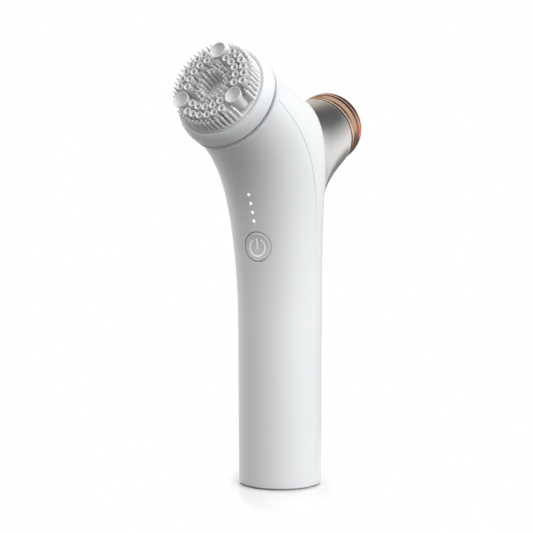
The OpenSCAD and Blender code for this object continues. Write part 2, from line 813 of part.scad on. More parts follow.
module spindle() {
    color("silver") at_head() difference() {
        bar(spindle_r, spindle_back, spindle_front);
        translate([-spindle_r, spindle_r - spindle_flat, 0])
            cube([2 * spindle_r, spindle_r, spindle_front + over]);
    }
}

// Involute tooth outline with short teeth and a little backlash
function inv(r, base) = r <= base ? 0 : let (t = sqrt(pow(r / base, 2) - 1)) t * 180 / PI - atan(t);
module gear_outline(teeth) {
    pitch = gear_module * teeth / 2;
    base = pitch * cos(pressure_angle);
    tip = pitch + addendum * gear_module;
    root = pitch - dedendum * gear_module;
    slack = gear_backlash * 180 / PI / pitch;
    half = 90 / teeth - slack + inv(pitch, base);
    start = max(base, root);
    radii = [for (i = [0:4]) start + (tip - start) * i / 4];
    rise = [for (r = radii) [r, half - inv(r, base)]];
    flank = concat([[root, half - inv(root, base)]], root < base ? rise : [for (i = [1:4]) rise[i]]);
    n = len(flank) - 1;
    polygon([for (k = [0:teeth - 1], side = [-1, 1], i = [0:n])
        let (p = flank[side < 0 ? i : n - i], a = 360 * k / teeth + side * p[1]) p[0] * [cos(a), sin(a)]]);
}

module drive_gear() {
    color("ivory") at_head() difference() {
        union() {
            translate([0, 0, gear_back]) rotate(-90 + 180 / gear_teeth)
                linear_extrude(gear_face) gear_outline(gear_teeth);
            bar(gear_hub_r, hub_back, bush_back - hub_play);
        }
        bar(spindle_r + gear_bore_gap, hub_back - over, bush_back + over);
    }
}

module motor_pinion() {
    color("gold") at_motor() union() {
        translate([0, 0, gear_back - pinion_over]) rotate(90)
            linear_extrude(gear_face + 2 * pinion_over) gear_outline(pinion_teeth);
        bar(shaft_r, motor_front - shaft_l, gear_front + pinion_over);
    }
}

module spindle_bush() {
    color("peru") at_head() ring(bush_r, spindle_r + run, bush_back + seat, bush_front - seat);
}

module rear_bush() {
    color("peru") at_head() ring(rear_bush_r, spindle_r + run, housing_back, housing_front);
}

module shaft_seal() {
    color("dimgray") at_head() ring(bush_r, spindle_r + run, seal_back, seal_front);
}

module gear_housing() {
    color("darkgray") at_head() difference() {
        union() {
            bar(housing_r, housing_back, housing_front);
            posts(post_angles, post_row_r) bar(post_r, housing_front - over, collar_plate_back);
        }
        bar(rear_bush_r + seat, housing_back - over, housing_front + over);
        posts(post_angles, post_row_r) bar(screw_r + seat, housing_back - over, over);
        translate([0, -gear_offset, 0]) {
            bar(motor_boss_r + seat, housing_back - over, housing_front + over);
            pair(motor_screw_x) bar(screw_r + seat, housing_back - over, housing_front + over);
        }
    }
}

module motor() {
    color("silver") at_motor() difference() {
        union() {
            bar(motor_r, motor_front - motor_l, motor_front);
            bar(motor_boss_r, motor_front - over, housing_front - 2 * hub_play);
            bar(motor_r / 2, motor_front - motor_l - motor_cap_h, motor_front - motor_l + over);
        }
        bar(shaft_r + run, motor_front - shaft_l - shaft_end_gap, over);
        pair(motor_screw_x) bar(screw_r + seat, motor_front - screw_bite - loose, motor_front + over);
    }
}

module gearbox_screws() {
    color("dimgray") {
        at_head() posts(post_angles, post_row_r) union() {
            bar(screw_r, housing_back - screw_head_h / 2, collar_plate_back + screw_bite - loose);
            bar(screw_head_r, housing_back - screw_head_h - seat, housing_back - seat);
        }
        at_motor() pair(motor_screw_x) union() {
            bar(screw_r, motor_front - screw_bite, housing_front + screw_head_h / 4);
            bar(screw_head_r, housing_front + seat, housing_front + seat + screw_head_h / 2);
        }
    }
}

// Grip insides

module chassis() {
    notch = [board_w + 2 * loose, inner_r + over - plate_front, bulkhead_t + 2 * over];
    color("slategray") difference() {
        union() {
            bar(bulkhead_r, plug_h, plug_h + bulkhead_t);
            bar(bulkhead_r, cradle_top, cradle_top + bulkhead_t);
            difference() {
                translate([0, cell_y, 0]) bar(cell_r + loose + cradle_wall, plug_h + over, cradle_top + over);
                translate([-2 * cell_r, -3 * cell_r - 2 * cell_y, 0])
                    cube([4 * cell_r, 2 * cell_r, 2 * cell_l]);
            }
            translate([-plate_w / 2, -plate_front, plug_h + over])
                cube([plate_w, plate_t, board_top - plug_h - over]);
        }
        translate([0, cell_y, 0]) bar(cell_r + loose, plug_h + bulkhead_t, cradle_top);
        translate([-board_w / 2 - loose, -inner_r - over, cradle_top - over]) cube(notch);
        board_holes(plate_front);
    }
}

module board_holes(y) {
    for (x = [-board_screw_x, board_screw_x], z = board_screw_zs) {
        translate([x, -y - over, z]) rotate([-90, 0, 0])
            cylinder(r = board_screw_r + seat, h = board_t + 2 * over);
    }
}

module battery() {
    color("seagreen") translate([0, cell_y, 0]) {
        bar(cell_r, cell_z, cell_z + cell_l);
        bar(cell_r / 3, cell_z + cell_l - over, cell_z + cell_l + cell_nub_h);
    }
}

module main_board() {
    color("darkgreen") difference() {
        translate([-board_w / 2, -board_front, board_low]) cube([board_w, board_t, board_top - board_low]);
        board_holes(board_front);
    }
}

module board_screws() {
    color("silver") for (x = [-board_screw_x, board_screw_x], z = board_screw_zs) {
        translate([x, -board_front, z]) rotate([90, 0, 0]) {
            bar(board_screw_r, screw_tip_gap - board_t - plate_t, board_screw_head / 2);
            bar(2 * board_screw_r, seat, seat + board_screw_head);
        }
    }
}

module tact_switch() {
    color("dimgray") translate([0, -board_front, switch_z]) {
        translate([-switch_w / 2, -switch_h, -switch_w / 2]) cube([switch_w, switch_h, switch_w]);
        rotate([90, 0, 0]) bar(stem_r, 0, switch_h + switch_knob_h);
    }
}

module status_leds() {
    color("lightyellow") for (z = led_zs) {
        translate([-led_chip_w / 2, -board_front - led_chip_h, z - led_chip_l / 2])
            cube([led_chip_w, led_chip_h, led_chip_l]);
    }
}

module light_guide() {
    back = board_front + led_chip_h + seat;
    length = (led_count - 1) * led_pitch + guide_bar_w;
    color("aliceblue") union() {
        translate([-guide_bar_w / 2, -back - guide_bar_t, led_z - guide_bar_w / 2])
            cube([guide_bar_w, guide_bar_t, length]);
        for (z = led_zs) {
            at_light(z) bar(led_r, front_y(z) + back, -led_sink);
        }
    }
}

module power_button() {
    color("white") at_button() union() {
        intersection() {
            bar(btn_r, -btn_step - btn_flange_t / 2, over);
            translate([0, 0, -btn_face_r]) rotate([90, 0, 0])
                cylinder(r = btn_face_r, h = 4 * btn_r, center = true);
        }
        bar(btn_flange_r, -btn_step - btn_rest_gap - btn_flange_t, -btn_step - btn_rest_gap);
        bar(stem_r, -stem_reach, -btn_step - btn_flange_t);
    }
}

module button_seal() {
    color("dimgray") at_button()
        ring(btn_boss_r, stem_r + 2 * loose, -btn_boss_low - seat - btn_seal_t, -btn_boss_low - seat);
}

front_shell();
rear_shell();
neck_collar();
base_cap();
base_seal();
charge_contacts();
rear_neck();
trim_ring();
head_collar();
insulator_ring();
massage_plate();
heater_disc();
head_base();
vib_motor();
vib_weight();
brush_carrier();
brush_pad();
spindle();
drive_gear();
spindle_bush();
rear_bush();
shaft_seal();
gear_housing();
motor();
motor_pinion();
gearbox_screws();
chassis();
battery();
main_board();
board_screws();
tact_switch();
status_leds();
light_guide();
power_button();
button_seal();
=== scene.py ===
import json
import math

import bmesh
import bpy
import numpy as np
from mathutils import Matrix, Vector
from mathutils.bvhtree import BVHTree


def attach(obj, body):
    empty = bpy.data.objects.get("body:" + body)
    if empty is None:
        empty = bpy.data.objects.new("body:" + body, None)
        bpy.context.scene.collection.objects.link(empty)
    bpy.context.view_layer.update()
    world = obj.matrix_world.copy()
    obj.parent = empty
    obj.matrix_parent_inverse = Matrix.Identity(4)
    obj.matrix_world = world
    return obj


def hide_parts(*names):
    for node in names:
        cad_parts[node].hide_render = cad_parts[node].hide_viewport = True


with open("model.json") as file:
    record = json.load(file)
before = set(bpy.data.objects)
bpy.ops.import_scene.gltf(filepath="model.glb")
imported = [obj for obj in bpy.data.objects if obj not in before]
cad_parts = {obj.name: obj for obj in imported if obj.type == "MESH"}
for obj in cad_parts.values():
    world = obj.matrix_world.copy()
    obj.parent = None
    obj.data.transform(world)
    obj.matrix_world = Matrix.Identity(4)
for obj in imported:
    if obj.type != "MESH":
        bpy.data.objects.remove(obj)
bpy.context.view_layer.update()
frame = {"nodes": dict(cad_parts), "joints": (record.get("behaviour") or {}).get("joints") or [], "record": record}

# Shapes are written in millimetres, in the part's own frame, and become metres when a mesh is made
MM = 0.001
ON_AXIS = 1e-6
SMOOTH_ANGLE = 35

# Grip and bent neck, where pulls are the lengths of the two handles of a curve
GRIP_R = 18.0
GRIP_FLARE = 0.55
WALL = 2.0
BASE_EDGE_R = 0.45
FOOT_H = 0.6
NECK_R = 20.9
NECK_FLARE = math.radians(2)
RUN_GAP = 1.0
COLLAR_T = 2.9
FRONT_START = 66.6
FRONT_PULLS = (17.6, 31.1)
BACK_START = 92.2
BACK_PULLS = (103.6, 54.2)
SIDE_LEAD = 0.25
SIDE_W_MID = 25.4
SIDE_W_TOP = 22.55
SEAM_SWING = math.radians(14.5)
SEAM_GAP = 0.1
SEAM_ROLL = 0.2
SEAM_DEPTH = 0.14

# Rear neck
REAR_R = 17.6
REAR_WALL = 1.8
REAR_ROOT = (17.75, 116.0)
REAR_LOW_PULLS = (14.0, 3.8)
REAR_LOW_ANGLE = math.radians(34.5)
REAR_TOP_Z = 167.6
REAR_TOP_PULLS = (11.0, 2.2)
REAR_TOP_ANGLE = math.radians(11.5)
REAR_WIDTHS = (18.0, 20.4, 18.75, REAR_R)
REAR_GAP = 0.3
# A dark strip under the neck's edge beside the shell, as painted shade: its depth under the skin and its clearance
# from the shell
REAR_SHADE_STRIP_DEPTH = 0.25
REAR_SHADE_STRIP_CLEAR = 0.01
REAR_PORT_R = 12.5
REAR_PORT_DEPTH = 45.0
REAR_RIM_ROLL = 0.3

# Brush head, in the frame of its spindle
RING_R = 21.5
RING_LIFT = 1.0
RING_EDGE = 0.18
RING_TAPER = 1.9
RING_BORE_R = 19.4
RIM_R = 19.75
RIM_Z = 7.55
RIM_TURN = (0.12, 0.3)
LIP_W = 1.2
LIP_EDGE = 0.1
LIP_SLOPE = (0.2, 0.12)
LIP_DROP = 0.32
SPINDLE_R = 2.05
SPINDLE_TOP = 5.3
WEB = (2.5, 3.9)
HUB_R = 4.2
HUB_TOP = 6.3
HUB_CLEAR = 0.2

# Silicone pad, whose rows are (count, step in degrees, radius) in each third of a turn
BED_Z = 7.2
BED_CLEAR = 0.12
BED_LIFT = 0.05
BED_BEAD_R = 17.3
BED_BEAD = 0.75
BED_BEAD_FOOT = 0.2
BED_RIM = (0.1, 0.35)
TIP_Z = 15.65
NUB_ROOT = 0.6
NUB_DROP = 0.3
CUP_TURN = math.radians(-31.7)
CUP_ROW_R = 14.15
CUP_R = 3.45
CUP_WALL = (0.28, 0.6)
CUP_FLARE = (0.2, 1.2)
CUP_HOLLOW = 1.3
CUP_DEPTH = 3.6
CUP_FLOOR_R = 0.8
CUP_STEM_R = 2.25
CUP_STEM_TOP = 4.2
CUP_FOOT = (0.3, 0.7)
TUBE_R = 1.52
TUBE_LIP = 0.35
TUBE_HOLE_R = 0.72
TUBE_HOLE_TAPER = 0.9
TUBE_FUNNEL = 0.45
TUBE_ROOT = 2.0
TUBE_ROWS = ((6, 13.2, 14.7), (5, 18.0, 11.1))
BRISTLE_R = 0.72
POINT_R = 0.29
POINT_H = 2.0
POINT_STEP = 0.35
BRISTLE_ROWS = ((15, 6.6, 17.4), (6, 20.0, 5.8), (6, 20.0, 7.6))

# Collar behind the running gap, in the frame of the spindle
COLLAR_R = 21.3
COLLAR_RECESS = 0.9
COLLAR_PLATE_T = 2.2
COLLAR_SINK = 0.12
COLLAR_LINE = -1.9
COLLAR_GROOVE = (0.35, 0.2)
COLLAR_BEVEL = (1.0, 0.2)
COLLAR_DROP = 0.35
COLLAR_LIP = 0.15
SPIGOT_R = 18.4
SPIGOT_WALL = 1.6
SPIGOT_END = -10.9
BOSS_R = 6.2
BOSS_END = -9.6
BUSH_R = 4.05

# Massage head, in the frame of its own axis: (low, top) pairs, and (radius, height) at the band's corners
TRIM = (0.05, 1.3)
TRIM_R = 17.25
BEAD = (2.4, 4.4)
BEAD_FOOT = 0.4
BAND = (4.45, 9.75)
BAND_NECK = (16.2, 6.9)
BAND_EDGE = (17.0, 9.4)
BAND_CHAMFER = 0.15
INSULATOR = (9.8, 10.4)
INSULATOR_PROUD = 0.2
PLATE = (10.45, 17.55)
PLATE_R = 16.65
PLATE_EDGE_R = 3.2
PLATE_DOME = 1.2
PLATE_CHAMFER = 0.2
PLATE_SKIRT = (0.2, 0.3, 1.2, 2.2, 3.3)
PLATE_WALL = 1.4
PLATE_STEP = 1.7
PLATE_BORE = (12.0, 13.0)
PLATE_LINE = (12.0, 13.4)
PLATE_LINE_PROUD = 0.2
PLATE_LINE_RISE = 0.3
CORE_R = 14.25

# Dark rings in the joints of the massage head, painted shade that darkens the grooves: low end, top end and radius
# past the rings beside them
NECK_JOINT_SHADE = (-0.2, 0.02, -0.05)
TRIM_JOINT_SHADE = (0.02, 0.1, -0.15)

# Controls, with the button's face as (radius, height over the skin)
BTN_Z = 103.0
BTN_R = 6.35
BTN_HOLE_R = 6.55
BTN_HOLE_LIP = 0.24
BTN_HOLE_PROUD = 0.01
BTN_HOLE_RISE = 2.0
BTN_HOLE_SINK = 4.0
BTN_STEP = 2.87
BTN_FLANGE_W = 0.75
BTN_FLANGE = (0.1, 0.9)
BTN_STEM = 5.95
BTN_STEM_R = 1.4
FACE_R = 5.35
FACE_DROP = 0.045
FACE_DISH = 0.55
FACE_EDGE = [(FACE_R, -FACE_DROP), (5.6, -0.03), (5.8, -0.07), (6.0, -0.17), (6.2, -0.34), (BTN_R, -0.62)]
SIGN_R = 3.7
SIGN_Y = -0.25
SIGN_W = 0.28
SIGN_GAP = math.radians(34)
SIGN_BAR = (-0.9, 3.6)
SIGN_PROUD = 0.03
SIGN_SUNK = 0.1
LED_Z = 113.9
LED_PITCH = 3.6
LED_COUNT = 4
LED_R = 0.65
LED_DOME = 0.12
LED_CLEAR = 0.06
LED_HOLE = (-3.5, 1.5)
GUIDE_BACK = 12.99
GUIDE_BAR_T = 1.6
GUIDE_BAR_W = 4.0


# Frames and curves

JOINTS = {joint["name"]: joint for joint in frame["joints"]}


def axis_frame(axis, centre):
    """Frame with +Z along an axis in the middle plane, +X across and its origin at a centre."""
    z = Vector(axis).normalized()
    x = Vector((1, 0, 0))
    place = Matrix((x, z.cross(x), z)).transposed().to_4x4()
    place.translation = centre
    return place


def joint_frame(name):
    return axis_frame(JOINTS[name]["axis"], Vector(JOINTS[name]["pos_m"]) / MM)


HEAD = joint_frame("brush_spin")
REAR = joint_frame("vib_spin")
WORLD = Matrix.Identity(4)


def bezier(points, u):
    points = np.asarray(points, float)
    degree = len(points) - 1
    u = np.asarray(u, float)[:, None]
    return sum(math.comb(degree, k) * u**k * (1 - u) ** (degree - k) * points[k] for k in range(degree + 1))


def bezier_dir(points, u):
    points = np.asarray(points, float)
    way = bezier(points[1:] - points[:-1], u)
    return way / np.linalg.norm(way, axis=1)[:, None]


def turn_left(v):
    return np.stack([-v[..., 1], v[..., 0]], -1)


# A rounding takes up less than half of each side
ARC_SHARE = 0.49


def arc_outline(corners, steps=6):
    """Outline through (r, z, rounding) corners, with each corner drawn as an arc-like curve."""
    points = []
    for k, (r, z, rounding) in enumerate(corners):
        here = np.array((r, z))
        if rounding == 0 or k in (0, len(corners) - 1):
            points.append(here)
            continue
        before = np.array(corners[k - 1][:2]) - here
        after = np.array(corners[k + 1][:2]) - here
        start = here + before * min(rounding / np.linalg.norm(before), ARC_SHARE)
        end = here + after * min(rounding / np.linalg.norm(after), ARC_SHARE)
        points.extend(bezier([start, here, end], np.linspace(0, 1, steps + 1)))
    return np.array(points)


def rod_outline(r, low, top):
    return [(0, low), (r, low), (r, top), (0, top)]


# Meshes

def make_piece(name, verts, faces, place=WORLD, smooth_angle=SMOOTH_ANGLE):
    """A mesh object from millimetre points in a frame, with smooth shading up to an angle."""
    mesh = bpy.data.meshes.new(name)
    matrix = np.array(place)
    points = (np.asarray(verts, float) @ matrix[:3, :3].T + matrix[:3, 3]) * MM
    mesh.from_pydata(points.tolist(), [], faces)
    mesh.validate()
    skin = bmesh.new()
    skin.from_mesh(mesh)
    bmesh.ops.recalc_face_normals(skin, faces=skin.faces)
    skin.to_mesh(mesh)
    skin.free()
    mesh.shade_smooth()
    mesh.set_sharp_from_angle(angle=math.radians(smooth_angle))
    piece = bpy.data.objects.new(name, mesh)
    bpy.context.scene.collection.objects.link(piece)
    return piece


def dress(piece, material, body, slot, *nodes):
    """Gives a piece its material and its body, and hides the nodes it stands for. The slot is not used."""
    piece.data.materials.clear()
    piece.data.materials.append(material)
    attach(piece, body)
    if nodes:
        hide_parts(*nodes)


def lathe(outline, segments, closed=False):
    """Points and faces of an outline turned about +Z. Ends on the axis become poles."""
    outline = np.asarray(outline, float)
    angles = np.linspace(0, 2 * math.pi, segments, endpoint=False)
    verts, rows = [], []
    for r, z in outline:
        if r < ON_AXIS:
            rows.append([len(verts)])
            verts.append((0, 0, z))
        else:
            rows.append(list(range(len(verts), len(verts) + segments)))
            verts.extend((r * math.cos(a), r * math.sin(a), z) for a in angles)
    faces = []
    pairs = list(zip(rows, rows[1:] + rows[:1])) if closed else list(zip(rows, rows[1:]))
    for low, top in pairs:
        for j in range(segments):
            k = (j + 1) % segments
            quad = [low[j % len(low)], low[k % len(low)], top[k % len(top)], top[j % len(top)]]
            face = list(dict.fromkeys(quad))
            if len(face) > 2:
                faces.append(face)
    return np.array(verts), faces


def join(parts):
    """One set of points and faces from several."""
    verts, faces, start = [], [], 0
    for points, polygons in parts:
        verts.append(np.asarray(points, float))
        faces.extend([[start + i for i in polygon] for polygon in polygons])
        start += len(points)
    return np.vstack(verts), faces


def moved(part, shift, turn=0.0):
    """A part turned about +Z and then shifted."""
    points, faces = part
    c, s = math.cos(turn), math.sin(turn)
    spin = np.array(((c, s, 0), (-s, c, 0), (0, 0, 1)))
    return np.asarray(points) @ spin + np.array(shift), faces


def cut(piece, cutter, operation="DIFFERENCE"):
    """Cuts a piece with another mesh object, which is then removed."""
    modifier = piece.modifiers.new("cut", "BOOLEAN")
    modifier.object = cutter
    modifier.operation = operation
    modifier.solver = "EXACT"
    bpy.context.view_layer.update()
    shaped = piece.evaluated_get(bpy.context.evaluated_depsgraph_get())
    mesh = bpy.data.meshes.new_from_object(shaped)
    piece.modifiers.clear()
    piece.data = mesh
    bpy.data.objects.remove(cutter)
    mesh.shade_smooth()
    mesh.set_sharp_from_angle(angle=math.radians(SMOOTH_ANGLE))


# Housing surfaces: two rails in the middle plane and a half width

def yz(vector):
    return np.array((vector[1], vector[2]))


HEAD_C = yz(HEAD.translation)
HEAD_N = yz(HEAD.col[2])
HEAD_LOW = turn_left(HEAD_N)
GRIP_TOP_R = GRIP_R + GRIP_FLARE
SHELL_END = RUN_GAP / 2 + COLLAR_T
NECK_C = HEAD_C - SHELL_END * HEAD_N
FRONT_END = NECK_C + NECK_R * HEAD_LOW
BACK_END = NECK_C - NECK_R * HEAD_LOW
FLARE_ALONG = math.cos(NECK_FLARE) * HEAD_N
FLARE_OUT = math.sin(NECK_FLARE) * HEAD_LOW
FRONT_RAIL = [
    (-GRIP_TOP_R, FRONT_START),
    (-GRIP_TOP_R, FRONT_START + FRONT_PULLS[0]),
    FRONT_END - FRONT_PULLS[1] * (FLARE_ALONG + FLARE_OUT),
    FRONT_END,
]
BACK_RAIL = [
    (GRIP_TOP_R, BACK_START),
    (GRIP_TOP_R, BACK_START + BACK_PULLS[0]),
    BACK_END - BACK_PULLS[1] * (FLARE_ALONG - FLARE_OUT),
    BACK_END,
]
SIDE_RAIL = [(w,) for w in (GRIP_TOP_R, GRIP_TOP_R + SIDE_LEAD, SIDE_W_MID, SIDE_W_TOP, NECK_R)]

EDGE_STEPS = 8
GRIP_STEPS = 26
BEND_STEPS = 120


def body_stations(inset):
    """Front points, back points, half widths and seam angles of the housing, moved inwards by an inset."""
    turn = np.linspace(0, math.pi / 2, EDGE_STEPS + 1)
    edge_r = GRIP_R - inset - (BASE_EDGE_R * (1 - np.sin(turn)) if inset <= 0 else 0 * turn)
    edge_z = FOOT_H + BASE_EDGE_R * (1 - np.cos(turn))
    part = np.linspace(0, 1, GRIP_STEPS + 1)[1:-1]
    low = edge_z[-1]
    grip_r = GRIP_R + GRIP_FLARE * part - inset
    u = np.linspace(0, 1, BEND_STEPS + 1)
    front = bezier(FRONT_RAIL, u) - inset * turn_left(bezier_dir(FRONT_RAIL, u))
    back = bezier(BACK_RAIL, u) + inset * turn_left(bezier_dir(BACK_RAIL, u))
    front = np.vstack([
        np.stack([-edge_r, edge_z], 1),
        np.stack([-grip_r, low + part * (FRONT_START - low)], 1),
        front,
    ])
    back = np.vstack([
        np.stack([edge_r, edge_z], 1),
        np.stack([grip_r, low + part * (BACK_START - low)], 1),
        back,
    ])
    width = np.concatenate([edge_r, grip_r, bezier(SIDE_RAIL, u)[:, 0] - inset])
    seam = np.concatenate([0 * edge_r, 0 * grip_r, SEAM_SWING * np.sin(math.pi * u)])
    return front, back, width, seam


def section(front, back, width, angles):
    """Points of the oval sections: one row for each station, one column for each angle."""
    mid, half = (front + back) / 2, (front - back) / 2
    sin, cos = np.sin(angles), np.cos(angles)
    y = mid[:, :1] + half[:, :1] * sin
    z = mid[:, 1:] + half[:, 1:] * sin
    return np.stack([width[:, None] * cos, y, z], -1)


def grid_faces(rows, columns, closed):
    faces = []
    for i in range(rows - 1):
        for j in range(columns if closed else columns - 1):
            here, beside = i * columns + j, i * columns + (j + 1) % columns
            faces.append([here, beside, beside + columns, here + columns])
    return faces


def shell_mesh(low_angle, high_angle, columns=76):
    """A closed half shell between two angles, with softly rolled edges along the seam."""
    front, back, width, seam = body_stations(0)
    inner_front, inner_back, inner_width, _ = body_stations(WALL)
    gap = SEAM_GAP / 2 / GRIP_R
    roll = SEAM_ROLL / GRIP_R
    start = low_angle(seam) + gap
    stop = high_angle(seam) - gap
    share = np.linspace(0, 1, columns)
    middle = (start + roll)[:, None] + share * (stop - start - 2 * roll)[:, None]
    angles = np.concatenate([start[:, None], start[:, None] + roll / 3, middle,
                             stop[:, None] - roll / 3, stop[:, None]], 1)
    depth = np.concatenate([[SEAM_DEPTH, SEAM_DEPTH / 4], np.zeros(columns), [SEAM_DEPTH / 4, SEAM_DEPTH]])
    outer = section(front, back, width, angles)
    inner = section(inner_front, inner_back, inner_width, angles)
    inward = inner - outer
    inward /= np.linalg.norm(inward, axis=2)[..., None]
    outer = outer + inward * depth[None, :, None]
    rows, n = angles.shape
    loop = np.concatenate([outer, inner[:, ::-1]], 1)
    faces = grid_faces(rows, 2 * n, True)
    top = (rows - 1) * 2 * n
    for j in range(n - 1):
        faces.append([j + 1, j, 2 * n - 1 - j, 2 * n - 2 - j])
        faces.append([top + j, top + j + 1, top + 2 * n - 2 - j, top + 2 * n - 1 - j])
    return loop.reshape(-1, 3), [face[::-1] for face in faces]


def closed_loft(front, back, width, columns):
    """A loft with both ends closed."""
    angles = np.broadcast_to(np.linspace(0, 2 * math.pi, columns, endpoint=False), (len(width), columns))
    points = section(front, back, width, angles)
    faces = grid_faces(len(width), columns, True)
    faces.append(list(range(columns - 1, -1, -1)))
    faces.append([(len(width) - 1) * columns + j for j in range(columns)])
    return points.reshape(-1, 3), faces


# Materials

def new_material(name):
    material = bpy.data.materials.new(name)
    material.use_nodes = True
    return material, material.node_tree.nodes, material.node_tree.links


TONE_SCALE = 55.0
TONE_VARY = 0.02
GRAIN_HEIGHT = 0.0002


def surface(name, color, rough, metallic=0.0, grain=2500.0, bump=0.02, rough_vary=0.05, sockets=()):
    """A moulded or finished surface: fine grain in its bump, and slight changes of tone and gloss."""
    material, nodes, links = new_material(name)
    shader = nodes["Principled BSDF"]
    shader.inputs["Metallic"].default_value = metallic
    for socket, value in sockets:
        shader.inputs[socket].default_value = value
    where = nodes.new("ShaderNodeTexCoord")
    fine = nodes.new("ShaderNodeTexNoise")
    fine.inputs["Scale"].default_value = grain
    fine.inputs["Detail"].default_value = 2.0
    broad = nodes.new("ShaderNodeTexNoise")
    broad.inputs["Scale"].default_value = TONE_SCALE
    broad.inputs["Detail"].default_value = 3.0
    links.new(where.outputs["Object"], fine.inputs["Vector"])
    links.new(where.outputs["Object"], broad.inputs["Vector"])
    tone = nodes.new("ShaderNodeMix")
    tone.data_type = "RGBA"
    tone.inputs["A"].default_value = [c * (1 - TONE_VARY) for c in color] + [1]
    tone.inputs["B"].default_value = [min(1, c * (1 + TONE_VARY)) for c in color] + [1]
    links.new(broad.outputs["Fac"], tone.inputs["Factor"])
    links.new(tone.outputs["Result"], shader.inputs["Base Color"])
    gloss = nodes.new("ShaderNodeMapRange")
    gloss.inputs["To Min"].default_value = rough - rough_vary
    gloss.inputs["To Max"].default_value = rough + rough_vary
    links.new(fine.outputs["Fac"], gloss.inputs["Value"])
    links.new(gloss.outputs["Result"], shader.inputs["Roughness"])
    relief = nodes.new("ShaderNodeBump")
    relief.inputs["Strength"].default_value = bump
    relief.inputs["Distance"].default_value = GRAIN_HEIGHT
    links.new(fine.outputs["Fac"], relief.inputs["Height"])
    links.new(relief.outputs["Normal"], shader.inputs["Normal"])
    return material


def gilt(color, rough, bump, tint=None, rough_vary=0.05):
    """Finish of a plated metal, with its own tint at grazing angles."""
    sockets = (("Specular Tint", (*tint, 1)),) if tint else ()
    return dict(color=color, rough=rough, metallic=1.0, grain=900, bump=bump, rough_vary=rough_vary,
                sockets=sockets)


def glowing(strength):
    return ("Emission Color", (1, 1, 1, 1)), ("Emission Strength", strength)


ROSE_TINT = (0.85, 0.55, 0.42)
COPPER_TINT = (0.8, 0.25, 0.14)

# The slots of the record, and then four finishes for single pieces: three copies of rose gold with painted shade
# in their bases, and the sign with a painted glow
FINISHES = {
    "white_shell": dict(color=(0.775, 0.79, 0.805), rough=0.42, bump=0.05),
    "button_white": dict(color=(0.74, 0.74, 0.75), rough=0.38, bump=0.05),
    "base_plastic": dict(color=(0.62, 0.62, 0.63), rough=0.55, bump=0.1),
    "silver_cover": dict(color=(0.74, 0.735, 0.72), rough=0.28, metallic=1.0, grain=60, bump=0.0,
                         rough_vary=0.01),
    "rose_gold": gilt((0.90, 0.66, 0.50), 0.14, 0.004, ROSE_TINT, 0.015),
    "silicone": dict(color=(0.79, 0.795, 0.80), rough=0.45, bump=0.05),
    "dark_plastic": dict(color=(0.03, 0.03, 0.03), rough=0.5),
    "frame_plastic": dict(color=(0.28, 0.3, 0.32), rough=0.55, bump=0.1),
    "gear_plastic": dict(color=(0.75, 0.7, 0.58), rough=0.45),
    "seal_rubber": dict(color=(0.04, 0.04, 0.04), rough=0.7, bump=0.1),
    "steel": dict(color=(0.56, 0.56, 0.57), rough=0.28, metallic=1.0, grain=5000),
    "motor_can": dict(color=(0.5, 0.5, 0.51), rough=0.35, metallic=1.0, grain=5000),
    "bearing_brass": dict(color=(0.7, 0.48, 0.2), rough=0.4, metallic=1.0, grain=4000, bump=0.1),
    "contact_gold": dict(color=(0.85, 0.62, 0.28), rough=0.2, metallic=1.0, grain=5000),
    "ceramic": dict(color=(0.8, 0.77, 0.7), rough=0.6, bump=0.1),
    "cell_wrap": dict(color=(0.05, 0.25, 0.14), rough=0.3),
    "board_green": dict(color=(0.02, 0.12, 0.05), rough=0.4, bump=0.1),
    "led_lens": dict(color=(0.9, 0.91, 0.92), rough=0.2, sockets=glowing(0.6)),
    # Copies of rose gold whose bases are darker, redder or paler: painted shade and reflection for the band, the
    # plate's line and the plate
    "satin_rose_gold_shaded": gilt((0.58, 0.39, 0.285), 0.3, 0.004, ROSE_TINT),
    "rose_gold_line_shade": gilt((0.55, 0.45, 0.38), 0.25, 0.004),
    "rose_gold_plate_shade": gilt((0.62, 0.21, 0.12), 0.22, 0.002, COPPER_TINT),
    # The sign glows a little: painted brightness on the print, not a lamp
    "sign_paint_glow": dict(color=(0.95, 0.95, 0.95), rough=0.3, sockets=glowing(0.2)),
}
MATERIALS = {name: surface(name, **finish) for name, finish in FINISHES.items()}

for entry in frame["record"]["subparts"]:
    node = frame["nodes"][entry["node"]]
    node.data.materials.clear()
    node.data.materials.append(MATERIALS[entry["material_slot"]])


# Housing pieces

front_verts, front_faces = shell_mesh(lambda seam: seam, lambda seam: math.pi - seam)
front_skin = BVHTree.FromPolygons([Vector(v) for v in front_verts], front_faces)
front_shell = make_piece("front_shell_form", front_verts, front_faces)
rear_verts, rear_faces = shell_mesh(lambda seam: math.pi - seam, lambda seam: 2 * math.pi + seam)
rear_shell = make_piece("rear_shell_form", rear_verts, rear_faces)


def front_point(z):
    """Point of the front curve at a height, and its direction there."""
    u = np.linspace(0, 1, 2001)
    curve = bezier(FRONT_RAIL, u)
    at = np.array([np.interp(z, curve[:, 1], u)])
    return bezier(FRONT_RAIL, at)[0], bezier_dir(FRONT_RAIL, at)[0]


def surface_frame(z):
    """Frame on the front curve at a height, with +Z pointing out of the surface and +Y up along it."""
    point, way = front_point(z)
    out = turn_left(way)
    return axis_frame((0, out[0], out[1]), Vector((0, point[0], point[1])))


BUTTON = surface_frame(BTN_Z)
LIGHTS = [surface_frame(LED_Z + k * LED_PITCH) for k in range(LED_COUNT)]
PROBE = 12.0


def skin_height(place, x, y):
    """Height of the front shell's skin over a frame's plane."""
    start = place @ Vector((x, y, PROBE))
    hit = front_skin.ray_cast(start, -place.col[2].to_3d())
    return PROBE - hit[3]


